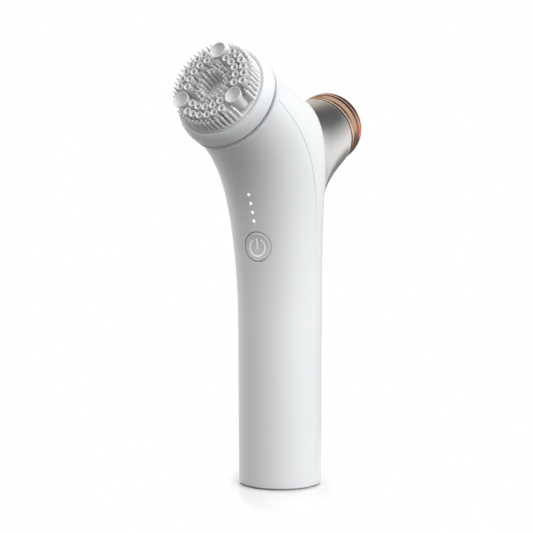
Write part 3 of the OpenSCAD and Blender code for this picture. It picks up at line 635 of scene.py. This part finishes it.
def conformed_lathe(place, rings, segments=72):
    """A turned form whose rings (r, z, follow) ride on the front skin where follow is 1."""
    verts, faces = lathe([(r, z) for r, z, _ in rings], segments)
    follow = []
    for r, _, weight in rings:
        follow.extend([weight] * (1 if r < ON_AXIS else segments))
    for k, weight in enumerate(follow):
        if weight:
            verts[k, 2] += weight * skin_height(place, verts[k, 0], verts[k, 1])
    return verts, faces


mouth_r = BTN_HOLE_R + BTN_HOLE_LIP
hole_rings = [(0, BTN_HOLE_RISE, 0), (mouth_r, BTN_HOLE_RISE, 0), (mouth_r, BTN_HOLE_PROUD, 1)]
hole_rings += [
    (BTN_HOLE_R + BTN_HOLE_LIP * (1 - math.sin(a)), -BTN_HOLE_LIP * (1 - math.cos(a)), 1)
    for a in np.linspace(math.radians(15), math.pi / 2, 5)
]
hole_rings += [(BTN_HOLE_R, -BTN_STEP - BTN_HOLE_SINK, 0), (0, -BTN_STEP - BTN_HOLE_SINK, 0)]
cut(front_shell, make_piece("button_hole", *conformed_lathe(BUTTON, hole_rings[::-1]), place=BUTTON))
for place in LIGHTS:
    pin_hole = lathe(rod_outline(LED_R + LED_CLEAR, *LED_HOLE), segments=32)
    cut(front_shell, make_piece("light_hole", *pin_hole, place=place))
port = lathe(rod_outline(REAR_PORT_R, -REAR_PORT_DEPTH, 0), segments=64)
cut(rear_shell, make_piece("port", *port, place=REAR))
dress(front_shell, MATERIALS["white_shell"], "housing", "white_shell", "front_shell")
dress(rear_shell, MATERIALS["white_shell"], "housing", "white_shell", "rear_shell")


# Collar behind the running gap

collar_front = -RUN_GAP / 2
collar_back = COLLAR_SINK - RUN_GAP / 2 - COLLAR_T
collar_floor = collar_front - COLLAR_RECESS
collar_lip = collar_front - COLLAR_DROP
lip_r = COLLAR_R - COLLAR_BEVEL[0]
plate_low = collar_floor - COLLAR_PLATE_T
spigot_in = SPIGOT_R - SPIGOT_WALL
collar_outline = arc_outline([
    (BUSH_R, collar_floor, 0.1), (lip_r - COLLAR_LIP, collar_floor, 0.1),
    (lip_r - COLLAR_LIP, collar_lip, 0.06), (lip_r, collar_lip, 0.06),
    (COLLAR_R, collar_lip - COLLAR_BEVEL[1], 0.3), (COLLAR_R, COLLAR_LINE + COLLAR_GROOVE[1], 0),
    (COLLAR_R - COLLAR_GROOVE[0], COLLAR_LINE, 0), (COLLAR_R, COLLAR_LINE - COLLAR_GROOVE[1], 0),
    (COLLAR_R, collar_back, 0.14), (SPIGOT_R, collar_back, 0.1), (SPIGOT_R, SPIGOT_END, 0.3),
    (spigot_in, SPIGOT_END, 0.3), (spigot_in, plate_low, 0.3), (BOSS_R, plate_low, 0.3),
    (BOSS_R, BOSS_END, 0.3), (BUSH_R, BOSS_END, 0.1),
])
neck_collar = make_piece("neck_collar_form", *lathe(collar_outline, segments=128, closed=True), place=HEAD)
dress(neck_collar, MATERIALS["white_shell"], "housing", "white_shell", "neck_collar")


# Rear neck

REAR_C = yz(REAR.translation)
REAR_N = yz(REAR.col[2])
REAR_LOW = -turn_left(REAR_N)
LOW_TIP = REAR_C + REAR_R * REAR_LOW
TOP_TIP = REAR_C - REAR_R * REAR_LOW


def sloped(angle):
    return np.array((math.cos(angle), math.sin(angle)))


REAR_LOW_RAIL = [
    REAR_ROOT,
    (REAR_ROOT[0], REAR_ROOT[1] + REAR_LOW_PULLS[0]),
    LOW_TIP - REAR_LOW_PULLS[1] * sloped(REAR_LOW_ANGLE),
    LOW_TIP,
]
REAR_TOP_RAIL = [
    (0, REAR_TOP_Z),
    (REAR_TOP_PULLS[0], REAR_TOP_Z),
    TOP_TIP - REAR_TOP_PULLS[1] * sloped(REAR_TOP_ANGLE),
    TOP_TIP,
]
REAR_SIDE_RAIL = [(w,) for w in REAR_WIDTHS]


def rear_stations(inset, steps=72):
    u = np.linspace(0, 1, steps + 1)
    top = bezier(REAR_TOP_RAIL, u) - inset * turn_left(bezier_dir(REAR_TOP_RAIL, u))
    low = bezier(REAR_LOW_RAIL, u) + inset * turn_left(bezier_dir(REAR_LOW_RAIL, u))
    return top, low, bezier(REAR_SIDE_RAIL, u)[:, 0] - inset


def rear_neck_mesh(depth=0, columns=128):
    """The hollow neck, whose outside lies some depth under its own skin."""
    top, low, width = rear_stations(depth)
    inner = rear_stations(REAR_WALL)
    angles = np.broadcast_to(np.linspace(0, 2 * math.pi, columns, endpoint=False), (len(width), columns))
    outside = section(top, low, width, angles)
    inside = section(*inner, angles)
    rim = outside[-1:]
    inward = (inside[-1:] - rim) / np.linalg.norm(inside[-1:] - rim, axis=2)[..., None]
    along = np.array((0, REAR_N[0], REAR_N[1]))
    rolled = [
        rim + REAR_RIM_ROLL * ((1 - math.cos(a)) * inward + (math.sin(a) - 1) * along)
        for a in np.linspace(0, math.pi / 2, 5)
    ]
    points = np.concatenate([outside[:-1]] + rolled + [inside[::-1]], 0)
    rows = len(points)
    faces = grid_faces(rows, columns, True)
    end = (rows - 1) * columns
    faces += [[(j + 1) % columns, j, end + j, end + (j + 1) % columns] for j in range(columns)]
    return points.reshape(-1, 3), faces


def body_block(gap):
    """The body's outside as a solid, grown by a gap."""
    front, back, width, _ = body_stations(-gap)
    return make_piece("body_block", *closed_loft(front, back, width, columns=128))


rear_neck = make_piece("rear_neck_form", *rear_neck_mesh())
cut(rear_neck, body_block(REAR_GAP))
# Dark strip in the gap between the neck and the shell: painted shade along the neck's edge
neck_shade_strip = make_piece("neck_shade_strip", *rear_neck_mesh(REAR_SHADE_STRIP_DEPTH))
cut(neck_shade_strip, body_block(REAR_SHADE_STRIP_CLEAR))
cut(neck_shade_strip, body_block(REAR_GAP - REAR_SHADE_STRIP_CLEAR), "INTERSECT")
dress(neck_shade_strip, MATERIALS["dark_plastic"], "housing", "dark_plastic")
dress(rear_neck, MATERIALS["silver_cover"], "housing", "silver_cover", "rear_neck")


# Massage head

def trim_outline():
    """A thin ring, a joint and a round bead in one piece."""
    root = TRIM_R - BEAD_FOOT
    thin = arc_outline([
        (CORE_R, TRIM[0], 0), (TRIM_R, TRIM[0], 0.2), (TRIM_R, TRIM[1], 0.3), (root, TRIM[1], 0.1),
        (root, BEAD[0], 0),
    ])
    half = (BEAD[1] - BEAD[0]) / 2
    turn = np.linspace(0, math.pi, 25)
    bead = [(root + BEAD_FOOT * math.sin(a), BEAD[0] + half * (1 - math.cos(a))) for a in turn]
    return np.vstack([thin, bead, [(CORE_R, BEAD[1])]])


def band_outline():
    """A low neck, a cone that flares out to the rim, and the rim itself."""
    neck_r, neck_end = BAND_NECK
    edge_r, edge_start = BAND_EDGE
    return arc_outline([
        (CORE_R, BAND[0], 0), (neck_r, BAND[0], 0.1), (neck_r, neck_end, 0.5), (edge_r, edge_start, 0.3),
        (edge_r - BAND_CHAMFER, BAND[1], 0.1), (CORE_R, BAND[1], 0),
    ])


def plate_outline():
    """The end cap: a straight skirt, a round shoulder and a low dome, and the wall inside it."""
    low, top = PLATE
    flat = PLATE_R - PLATE_EDGE_R
    turn = np.linspace(0, math.pi / 2, 13)
    skirt = [(PLATE_R - PLATE_CHAMFER, low)] + [(PLATE_R, low + rise) for rise in PLATE_SKIRT]
    shoulder = [
        (flat + PLATE_EDGE_R * math.cos(a), top - PLATE_EDGE_R + PLATE_EDGE_R * math.sin(a)) for a in turn
    ]
    crown = [(flat * (1 - t), top + PLATE_DOME * (1 - (1 - t) ** 2)) for t in np.linspace(0, 1, 13)[1:]]
    back = top - PLATE_WALL
    step = low + PLATE_STEP
    inside = [(0, back), (PLATE_BORE[0], back), (PLATE_BORE[1], step), (CORE_R, step)]
    return [(CORE_R, low)] + skirt + shoulder + crown + inside


def turned(name, outline, slot, *nodes, finish=None, closed=True, place=REAR, body="housing", angle=50):
    """A turned piece with its slot's own finish or another."""
    piece = make_piece(name, *lathe(outline, segments=240, closed=closed), place=place, smooth_angle=angle)
    dress(piece, MATERIALS[finish or slot], body, slot, *nodes)


def dark_joint_shade_ring(name, low, top, radius):
    """A thin dark ring in a joint of the massage head: painted shade in its groove."""
    outline = [(CORE_R, low), (radius, low), (radius, top), (CORE_R, top)]
    ring = make_piece(name, *lathe(outline, segments=160, closed=True), place=REAR)
    dress(ring, MATERIALS["dark_plastic"], "housing", "dark_plastic")


insulator_r = PLATE_R + INSULATOR_PROUD
insulator_outline = arc_outline([
    (CORE_R, INSULATOR[0], 0), (insulator_r, INSULATOR[0], 0.1), (insulator_r, INSULATOR[1], 0.1),
    (CORE_R, INSULATOR[1], 0),
])
line_r = PLATE_R + PLATE_LINE_PROUD
line_outline = arc_outline([
    (CORE_R, PLATE_LINE[0], 0), (PLATE_R, PLATE_LINE[0], 0.05),
    (line_r, PLATE_LINE[0] + PLATE_LINE_RISE, 0.1), (line_r, PLATE_LINE[1], 0.1), (CORE_R, PLATE_LINE[1], 0),
])
turned("trim_ring_form", trim_outline(), "rose_gold", "trim_ring")
turned("head_collar_form", band_outline(), "rose_gold", "head_collar", finish="satin_rose_gold_shaded")
turned("insulator_ring_form", insulator_outline, "dark_plastic", "insulator_ring")
dark_joint_shade_ring("neck_joint_shade", TRIM[0] + NECK_JOINT_SHADE[0], TRIM[0] + NECK_JOINT_SHADE[1], TRIM_R + NECK_JOINT_SHADE[2])
dark_joint_shade_ring("trim_joint_shade", TRIM[1] + TRIM_JOINT_SHADE[0], BEAD[0] + TRIM_JOINT_SHADE[1], TRIM_R + TRIM_JOINT_SHADE[2])
turned("plate_line", line_outline, "rose_gold", finish="rose_gold_line_shade")
turned("massage_plate_form", plate_outline(), "rose_gold", "massage_plate", finish="rose_gold_plate_shade")


# Brush ring and silicone pad

hub_low = RUN_GAP / 2
ring_low = hub_low + RING_LIFT
rim_edge = (RIM_R + RIM_TURN[0], RIM_Z - RIM_TURN[1])
ring_curve = [(RING_R, ring_low + RING_EDGE), (RING_R, RIM_Z - RING_TAPER), rim_edge]
ring_skin = bezier(ring_curve, np.linspace(0, 1, 25))
lip_in = RIM_R - LIP_W
ring_inside = arc_outline([
    (*rim_edge, 0), (RIM_R - LIP_EDGE, RIM_Z, 0.2), (lip_in + LIP_SLOPE[0], RIM_Z - LIP_SLOPE[1], 0.1),
    (lip_in, RIM_Z - LIP_DROP, 0.1), (lip_in, WEB[1], 0.2), (HUB_R, WEB[1], 0.3), (HUB_R, HUB_TOP, 0.3),
    (0, HUB_TOP, 0),
])
ring_under = arc_outline([
    (0, SPINDLE_TOP, 0), (SPINDLE_R, SPINDLE_TOP, 0), (SPINDLE_R, hub_low, 0.1), (HUB_R, hub_low, 0.2),
    (HUB_R, WEB[0], 0.3), (RING_BORE_R, WEB[0], 0.3), (RING_BORE_R, ring_low, 0.1),
    (RING_R, ring_low, RING_EDGE), (RING_R, ring_low + 2 * RING_EDGE, 0),
])
ring_outline = np.vstack([ring_under[:-1], ring_skin, ring_inside[1:]])
turned("brush_carrier_form", ring_outline, "white_shell", "brush_carrier", closed=False, place=HEAD,
       body="brush_head", angle=40)


def nub(corners, segments):
    return lathe(arc_outline(corners, steps=4), segments)


nub_foot = BED_Z - NUB_ROOT
nub_top = TIP_Z - NUB_DROP
tube_floor = BED_Z + TUBE_ROOT
cup_floor = TIP_Z - CUP_DEPTH
tube = nub([
    (0, nub_foot, 0), (TUBE_R, nub_foot, 0), (TUBE_R, nub_top, 0.14), (TUBE_R - TUBE_LIP, nub_top, 0.1),
    (TUBE_HOLE_R, nub_top - TUBE_FUNNEL, 0.1), (TUBE_HOLE_R * TUBE_HOLE_TAPER, tube_floor, 0.2),
    (0, tube_floor, 0),
], segments=28)
bristle = nub([
    (0, nub_foot, 0), (BRISTLE_R, nub_foot, 0), (BRISTLE_R, nub_top - POINT_H, 0.3),
    (POINT_R, nub_top - POINT_H + POINT_STEP, 0.25), (POINT_R, nub_top, 0.2), (0, nub_top, 0),
], segments=14)
cup = nub([
    (0, nub_foot, 0), (CUP_STEM_R + CUP_FOOT[0], nub_foot, 0), (CUP_STEM_R, BED_Z + CUP_FOOT[1], 0.6),
    (CUP_STEM_R, TIP_Z - CUP_STEM_TOP, 1.2), (CUP_R - CUP_FLARE[0], TIP_Z - CUP_FLARE[1], 0.8),
    (CUP_R, TIP_Z, 0.12), (CUP_R - CUP_WALL[0], TIP_Z, 0.12), (CUP_R - CUP_WALL[1], TIP_Z - CUP_HOLLOW, 0.8),
    (CUP_FLOOR_R, cup_floor, 1.0), (0, cup_floor, 0),
], segments=56)


def third_rows(part, rows):
    """Copies of a nub in rows (count, step, radius), centred between the suction cups."""
    copies = []
    for count, step, radius in rows:
        for sector in range(3):
            middle = CUP_TURN + math.radians(60 + 120 * sector)
            for k in range(count):
                a = middle + math.radians(step) * (k - (count - 1) / 2)
                copies.append(moved(part, (radius * math.cos(a), radius * math.sin(a), 0), a))
    return copies


bed_r = lip_in - BED_CLEAR
bed_low = WEB[1] + BED_LIFT
socket_r = HUB_R + HUB_CLEAR
socket_top = HUB_TOP + HUB_CLEAR
bed_outline = arc_outline([
    (0, BED_Z, 0), (BED_BEAD_R - BED_BEAD_FOOT, BED_Z, 0.15), (BED_BEAD_R, BED_Z + BED_BEAD, 0.15),
    (bed_r - BED_RIM[0], BED_Z + BED_RIM[1], 0.15), (bed_r, BED_Z, 0.12), (bed_r, bed_low, 0.2),
    (socket_r, bed_low, 0.1), (socket_r, socket_top, 0.1), (0, socket_top, 0),
])
pad_parts = [lathe(bed_outline[::-1], segments=160)]
pad_parts += third_rows(tube, TUBE_ROWS)
pad_parts += third_rows(bristle, BRISTLE_ROWS)
pad_parts += [
    moved(cup, (CUP_ROW_R * math.cos(a), CUP_ROW_R * math.sin(a), 0))
    for a in (CUP_TURN + math.radians(120 * k) for k in range(3))
]
brush_pad = make_piece("brush_pad_form", *join(pad_parts), place=HEAD, smooth_angle=50)
dress(brush_pad, MATERIALS["silicone"], "brush_head", "silicone", "brush_pad")


# Power button with its sign, and the light guide

face_rings = [(r, FACE_DISH * ((r / FACE_R) ** 2 - 1) - FACE_DROP) for r in np.linspace(0, 5, 9)]
face_rings += FACE_EDGE
flange_r = BTN_R + BTN_FLANGE_W
flange_low = -BTN_STEP - BTN_FLANGE[1]
button_rings = [(r, z, 1) for r, z in face_rings]
button_rings += [
    (BTN_R, -BTN_STEP, 0), (flange_r, -BTN_STEP - BTN_FLANGE[0], 0), (flange_r, flange_low, 0),
    (BTN_STEM_R, flange_low, 0), (BTN_STEM_R, -BTN_STEM, 0), (0, -BTN_STEM, 0),
]
power_button = make_piece(
    "power_button_form", *conformed_lathe(BUTTON, button_rings[::-1]), place=BUTTON, smooth_angle=50)
dress(power_button, MATERIALS["button_white"], "button", "button_white", "power_button")


def face_height(x, y):
    """Height of the button's face over the plane of its frame."""
    radii, heights = zip(*face_rings)
    return skin_height(BUTTON, x, y) + np.interp(math.hypot(x, y), radii, heights)


def sign_part(path):
    """A thin inlay along a path on the button's face, with round ends."""
    path = np.asarray(path, float)
    way = np.gradient(path, axis=0)
    way /= np.linalg.norm(way, axis=1)[:, None]
    side = turn_left(way)
    across = np.linspace(-1, 1, 5)[:, None]
    ends = [(SIGN_W * math.cos(a), SIGN_W * math.sin(a)) for a in np.linspace(0, math.pi / 2, 5)[:-1]]
    rows = [path[0] - reach * way[0] + half * across * side[0] for reach, half in ends]
    rows += [path[k] + SIGN_W * across * side[k] for k in range(len(path))]
    rows += [path[-1] + reach * way[-1] + half * across * side[-1] for reach, half in ends[::-1]]
    flat = np.array(rows)
    height = np.array([[face_height(x, y) for x, y in row] for row in flat])
    n, m = height.shape
    top = np.concatenate([flat, (height + SIGN_PROUD)[..., None]], -1).reshape(-1, 3)
    low = np.concatenate([flat, (height - SIGN_SUNK)[..., None]], -1).reshape(-1, 3)
    faces = grid_faces(n, m, False)
    under = [[n * m + i for i in face[::-1]] for face in faces]
    border = list(range(m)) + [i * m + m - 1 for i in range(1, n)]
    border += [(n - 1) * m + j for j in range(m - 2, -1, -1)] + [i * m for i in range(n - 2, 0, -1)]
    sides = [[a, b, b + n * m, a + n * m] for a, b in zip(border, border[1:] + border[:1])]
    return np.vstack([top, low]), [f[::-1] for f in faces + under + sides]


sweep = np.linspace(SIGN_GAP, 2 * math.pi - SIGN_GAP, 49)
sign_ring = [(SIGN_R * math.sin(a), SIGN_Y + SIGN_R * math.cos(a)) for a in sweep]
sign_bar = [(0, y) for y in np.linspace(*SIGN_BAR, 9)]
power_sign = make_piece("power_sign", *join([sign_part(sign_ring), sign_part(sign_bar)]), place=BUTTON)
dress(power_sign, MATERIALS["sign_paint_glow"], "button", "button_white")

guide_parts = []
for place in LIGHTS:
    reach = -(place.translation.y + GUIDE_BACK)
    dome = [
        (LED_R * math.cos(a), -LED_DOME + LED_DOME * math.sin(a)) for a in np.linspace(0, math.pi / 2, 6)
    ]
    pin, pin_faces = lathe([(0, -reach), (LED_R, -reach)] + dome, segments=32)
    matrix = np.array(place)
    guide_parts.append((pin @ matrix[:3, :3].T + matrix[:3, 3], pin_faces))
bar_low = LED_Z - GUIDE_BAR_W / 2
bar_top = LED_Z + (LED_COUNT - 1) * LED_PITCH + GUIDE_BAR_W / 2
bar_corners = np.array([
    (x, -GUIDE_BACK - y, z)
    for x in (-GUIDE_BAR_W / 2, GUIDE_BAR_W / 2) for y in (0, GUIDE_BAR_T) for z in (bar_low, bar_top)
])
bar_faces = [[0, 1, 3, 2], [4, 6, 7, 5], [0, 4, 5, 1], [2, 3, 7, 6], [0, 2, 6, 4], [1, 5, 7, 3]]
light_guide = make_piece("light_guide_form", *join(guide_parts + [(bar_corners, bar_faces)]))
dress(light_guide, MATERIALS["led_lens"], "housing", "led_lens", "light_guide")


# Camera

CAMERA_AT = Vector((198.68, -356.00, 86.61)) * MM
CAMERA_AZIMUTH = math.radians(30.0)
CAMERA_RISE = math.radians(1.19)
CAMERA_LENS = 62.06
CAMERA_SENSOR = 36.0

camera_data = bpy.data.cameras.new("camera")
camera_data.lens = CAMERA_LENS
camera_data.sensor_width = CAMERA_SENSOR
camera = bpy.data.objects.new("camera", camera_data)
bpy.context.scene.collection.objects.link(camera)
camera.location = CAMERA_AT
camera.rotation_euler = (math.pi / 2 + CAMERA_RISE, 0, CAMERA_AZIMUTH)
bpy.context.scene.camera = camera


# Floor, lamps and surroundings

def seen_rays(nodes, links):
    """1 for rays that the eye sees: straight, mirrored or through glass."""
    path = nodes.new("ShaderNodeLightPath")
    first = nodes.new("ShaderNodeMath")
    first.operation = "MAXIMUM"
    links.new(path.outputs["Is Camera Ray"], first.inputs[0])
    links.new(path.outputs["Is Glossy Ray"], first.inputs[1])
    both = nodes.new("ShaderNodeMath")
    both.operation = "MAXIMUM"
    links.new(first.outputs[0], both.inputs[0])
    links.new(path.outputs["Is Transmission Ray"], both.inputs[1])
    return both.outputs[0]


# The floor fades to white between two distances in metres, in an oval that is longer along the view
FLOOR_NEAR = 0.018
FLOOR_FAR = 0.024
FLOOR_STRETCH = 2.6
FLOOR_PALE = (0.92, 0.92, 0.92, 1)
FLOOR_ROUGH = 0.22
FLOOR_DIM = (0.16, 0.16, 0.16, 1)
FLOOR_HALF = 3000.0


def floor_material():
    """Pale floor that shows its shadow and reflection round the foot and runs out to white."""
    material, nodes, links = new_material("studio_floor")
    nodes.remove(nodes["Principled BSDF"])
    seen = seen_rays(nodes, links)
    pale = nodes.new("ShaderNodeBsdfPrincipled")
    pale.inputs["Base Color"].default_value = FLOOR_PALE
    pale.inputs["Roughness"].default_value = FLOOR_ROUGH
    white = nodes.new("ShaderNodeEmission")
    dim = nodes.new("ShaderNodeBsdfDiffuse")
    dim.inputs["Color"].default_value = FLOOR_DIM
    where = nodes.new("ShaderNodeTexCoord")
    oval = nodes.new("ShaderNodeMapping")
    oval.vector_type = "TEXTURE"
    oval.inputs["Rotation"].default_value = (0, 0, CAMERA_AZIMUTH)
    oval.inputs["Scale"].default_value = (1, FLOOR_STRETCH, 1)
    links.new(where.outputs["Object"], oval.inputs["Vector"])
    reach = nodes.new("ShaderNodeVectorMath")
    reach.operation = "LENGTH"
    links.new(oval.outputs["Vector"], reach.inputs[0])
    fade = nodes.new("ShaderNodeMapRange")
    fade.interpolation_type = "SMOOTHSTEP"
    fade.inputs["From Min"].default_value = FLOOR_NEAR
    fade.inputs["From Max"].default_value = FLOOR_FAR
    links.new(reach.outputs["Value"], fade.inputs["Value"])
    top = nodes.new("ShaderNodeMixShader")
    links.new(fade.outputs["Result"], top.inputs["Fac"])
    links.new(pale.outputs["BSDF"], top.inputs[1])
    links.new(white.outputs["Emission"], top.inputs[2])
    mix = nodes.new("ShaderNodeMixShader")
    links.new(seen, mix.inputs["Fac"])
    links.new(dim.outputs["BSDF"], mix.inputs[1])
    links.new(top.outputs["Shader"], mix.inputs[2])
    links.new(mix.outputs["Shader"], nodes["Material Output"].inputs["Surface"])
    return material


floor = make_piece("floor", [
    (-FLOOR_HALF, -FLOOR_HALF, 0), (FLOOR_HALF, -FLOOR_HALF, 0),
    (FLOOR_HALF, FLOOR_HALF, 0), (-FLOOR_HALF, FLOOR_HALF, 0),
], [[0, 1, 2, 3]])
floor.data.materials.append(floor_material())


AIM = Vector((0, 0, 0.1))


def lamp(name, location, size, power, color=(1, 1, 1)):
    """A rectangular lamp aimed at the object, in metres and watts, which reflections don't show."""
    data = bpy.data.lights.new(name, "AREA")
    data.shape = "RECTANGLE"
    data.size, data.size_y = size
    data.energy = power
    data.color = color
    light = bpy.data.objects.new(name, data)
    bpy.context.scene.collection.objects.link(light)
    light.location = location
    light.rotation_euler = (AIM - Vector(location)).to_track_quat("-Z", "Y").to_euler()
    light.visible_glossy = False


lamp("key", (1.352, -0.19, 0.651), (1.6, 1.92), 24.8)
lamp("rim", (-0.872, 0.203, 0.25), (0.35, 0.6), 3.1, (1.0, 0.9, 0.83))

# Diffuse light of the room low down and overhead, and the slopes that it runs between
ROOM_LOW = 0.0
ROOM_TOP = 0.84
ROOM_RISE = (-0.2, 0.3)

# Studio cards behind the object, which only glossy surfaces see, at bearings in degrees from the rear neck
CARD_EYE = Vector((0, 0.03, 0.15))
CARD_LEVEL = 0.22
SOFT_CARD_TURN = (38, 150)
SOFT_CARD_RISE = (8, 68)
SOFT_CARD_FADE = (math.sin(math.radians(9)), math.sin(math.radians(34)))
SOFT_CARD_WARM_FADE = (math.sin(math.radians(38)), math.sin(math.radians(62)))
SOFT_CARD_SIDE = (-0.28, 0.07)
SOFT_CARD_DARK = 0.08
SOFT_CARD_WARM = (0.78, 0.70, 0.62, 1)
SOFT_CARD_REACH = 1.0
BACK_CARD = ((78, -22), (115, -22), (115, 4), (78, 1))
BACK_CARD_REACH = 0.4
FLOOR_CARD = [(-150, 100, 2), (900, 100, 2), (900, 1100, 2), (-150, 1100, 2)]


def bearing(azimuth, elevation, reach):
    """Point in millimetres at a bearing from the rear neck, in degrees and metres."""
    a, e = math.radians(azimuth), math.radians(elevation)
    way = Vector((math.cos(a) * math.cos(e), math.sin(a) * math.cos(e), math.sin(e)))
    return (CARD_EYE + reach * way) / MM


def gloss_only(card, material):
    card.data.materials.append(material)
    card.visible_camera = False
    card.visible_diffuse = False
    card.visible_transmission = False
    card.visible_shadow = False


def card_material(name):
    material, nodes, links = new_material(name)
    nodes.remove(nodes["Principled BSDF"])
    glow = nodes.new("ShaderNodeEmission")
    links.new(glow.outputs["Emission"], nodes["Material Output"].inputs["Surface"])
    return material, nodes, links, glow.inputs["Color"]


def plain_card(name, corners):
    material, _, _, color = card_material(name)
    color.default_value = (CARD_LEVEL, CARD_LEVEL, CARD_LEVEL, 1)
    gloss_only(make_piece(name, corners, [[0, 1, 2, 3]]), material)


def soft_card():
    """A curved card that runs from white at its foot to dark overhead, and to a warm tone at one side."""
    turns, rises = np.linspace(*SOFT_CARD_TURN, 28), np.linspace(*SOFT_CARD_RISE, 16)
    points = [bearing(a, e, SOFT_CARD_REACH) for e in rises for a in turns]
    card = make_piece("soft_card", points, grid_faces(len(rises), len(turns), False))
    material, nodes, links, color = card_material("soft_card")
    where = nodes.new("ShaderNodeTexCoord")
    away = nodes.new("ShaderNodeVectorMath")
    away.operation = "SUBTRACT"
    away.inputs[1].default_value = CARD_EYE
    links.new(where.outputs["Object"], away.inputs[0])
    split = nodes.new("ShaderNodeSeparateXYZ")
    links.new(away.outputs["Vector"], split.inputs["Vector"])
    level = nodes.new("ShaderNodeMapRange")
    level.inputs["From Min"].default_value, level.inputs["From Max"].default_value = SOFT_CARD_FADE
    level.inputs["To Min"].default_value = 1.0
    level.inputs["To Max"].default_value = SOFT_CARD_DARK
    links.new(split.outputs["Z"], level.inputs["Value"])
    side = nodes.new("ShaderNodeMapRange")
    side.interpolation_type = "SMOOTHSTEP"
    side.inputs["From Min"].default_value, side.inputs["From Max"].default_value = SOFT_CARD_SIDE
    links.new(split.outputs["X"], side.inputs["Value"])
    lower = nodes.new("ShaderNodeMapRange")
    lower.inputs["From Min"].default_value, lower.inputs["From Max"].default_value = SOFT_CARD_WARM_FADE
    links.new(split.outputs["Z"], lower.inputs["Value"])
    warm = nodes.new("ShaderNodeMix")
    warm.data_type = "RGBA"
    warm.inputs["A"].default_value = SOFT_CARD_WARM
    warm.inputs["B"].default_value = (SOFT_CARD_DARK, SOFT_CARD_DARK, SOFT_CARD_DARK, 1)
    links.new(lower.outputs["Result"], warm.inputs["Factor"])
    mix = nodes.new("ShaderNodeMix")
    mix.data_type = "RGBA"
    links.new(warm.outputs["Result"], mix.inputs["A"])
    links.new(side.outputs["Result"], mix.inputs["Factor"])
    links.new(level.outputs["Result"], mix.inputs["B"])
    links.new(mix.outputs["Result"], color)
    gloss_only(card, material)


soft_card()
plain_card("back_card", [bearing(a, e, BACK_CARD_REACH) for a, e in BACK_CARD])
plain_card("floor_card", FLOOR_CARD)


def studio_world():
    """White to the eye and in reflections, and a soft room to matt surfaces."""
    world = bpy.data.worlds.new("studio")
    world.use_nodes = True
    nodes, links = world.node_tree.nodes, world.node_tree.links
    where = nodes.new("ShaderNodeTexCoord")
    split = nodes.new("ShaderNodeSeparateXYZ")
    links.new(where.outputs["Generated"], split.inputs["Vector"])
    room = nodes.new("ShaderNodeMapRange")
    room.inputs["From Min"].default_value, room.inputs["From Max"].default_value = ROOM_RISE
    room.inputs["To Min"].default_value = ROOM_LOW
    room.inputs["To Max"].default_value = ROOM_TOP
    links.new(split.outputs["Z"], room.inputs["Value"])
    plain = nodes.new("ShaderNodeMix")
    plain.data_type = "RGBA"
    plain.inputs["B"].default_value = (1, 1, 1, 1)
    links.new(seen_rays(nodes, links), plain.inputs["Factor"])
    links.new(room.outputs["Result"], plain.inputs["A"])
    links.new(plain.outputs["Result"], nodes["Background"].inputs["Color"])
    return world


bpy.context.scene.world = studio_world()
bpy.context.scene.view_settings.view_transform = "Standard"
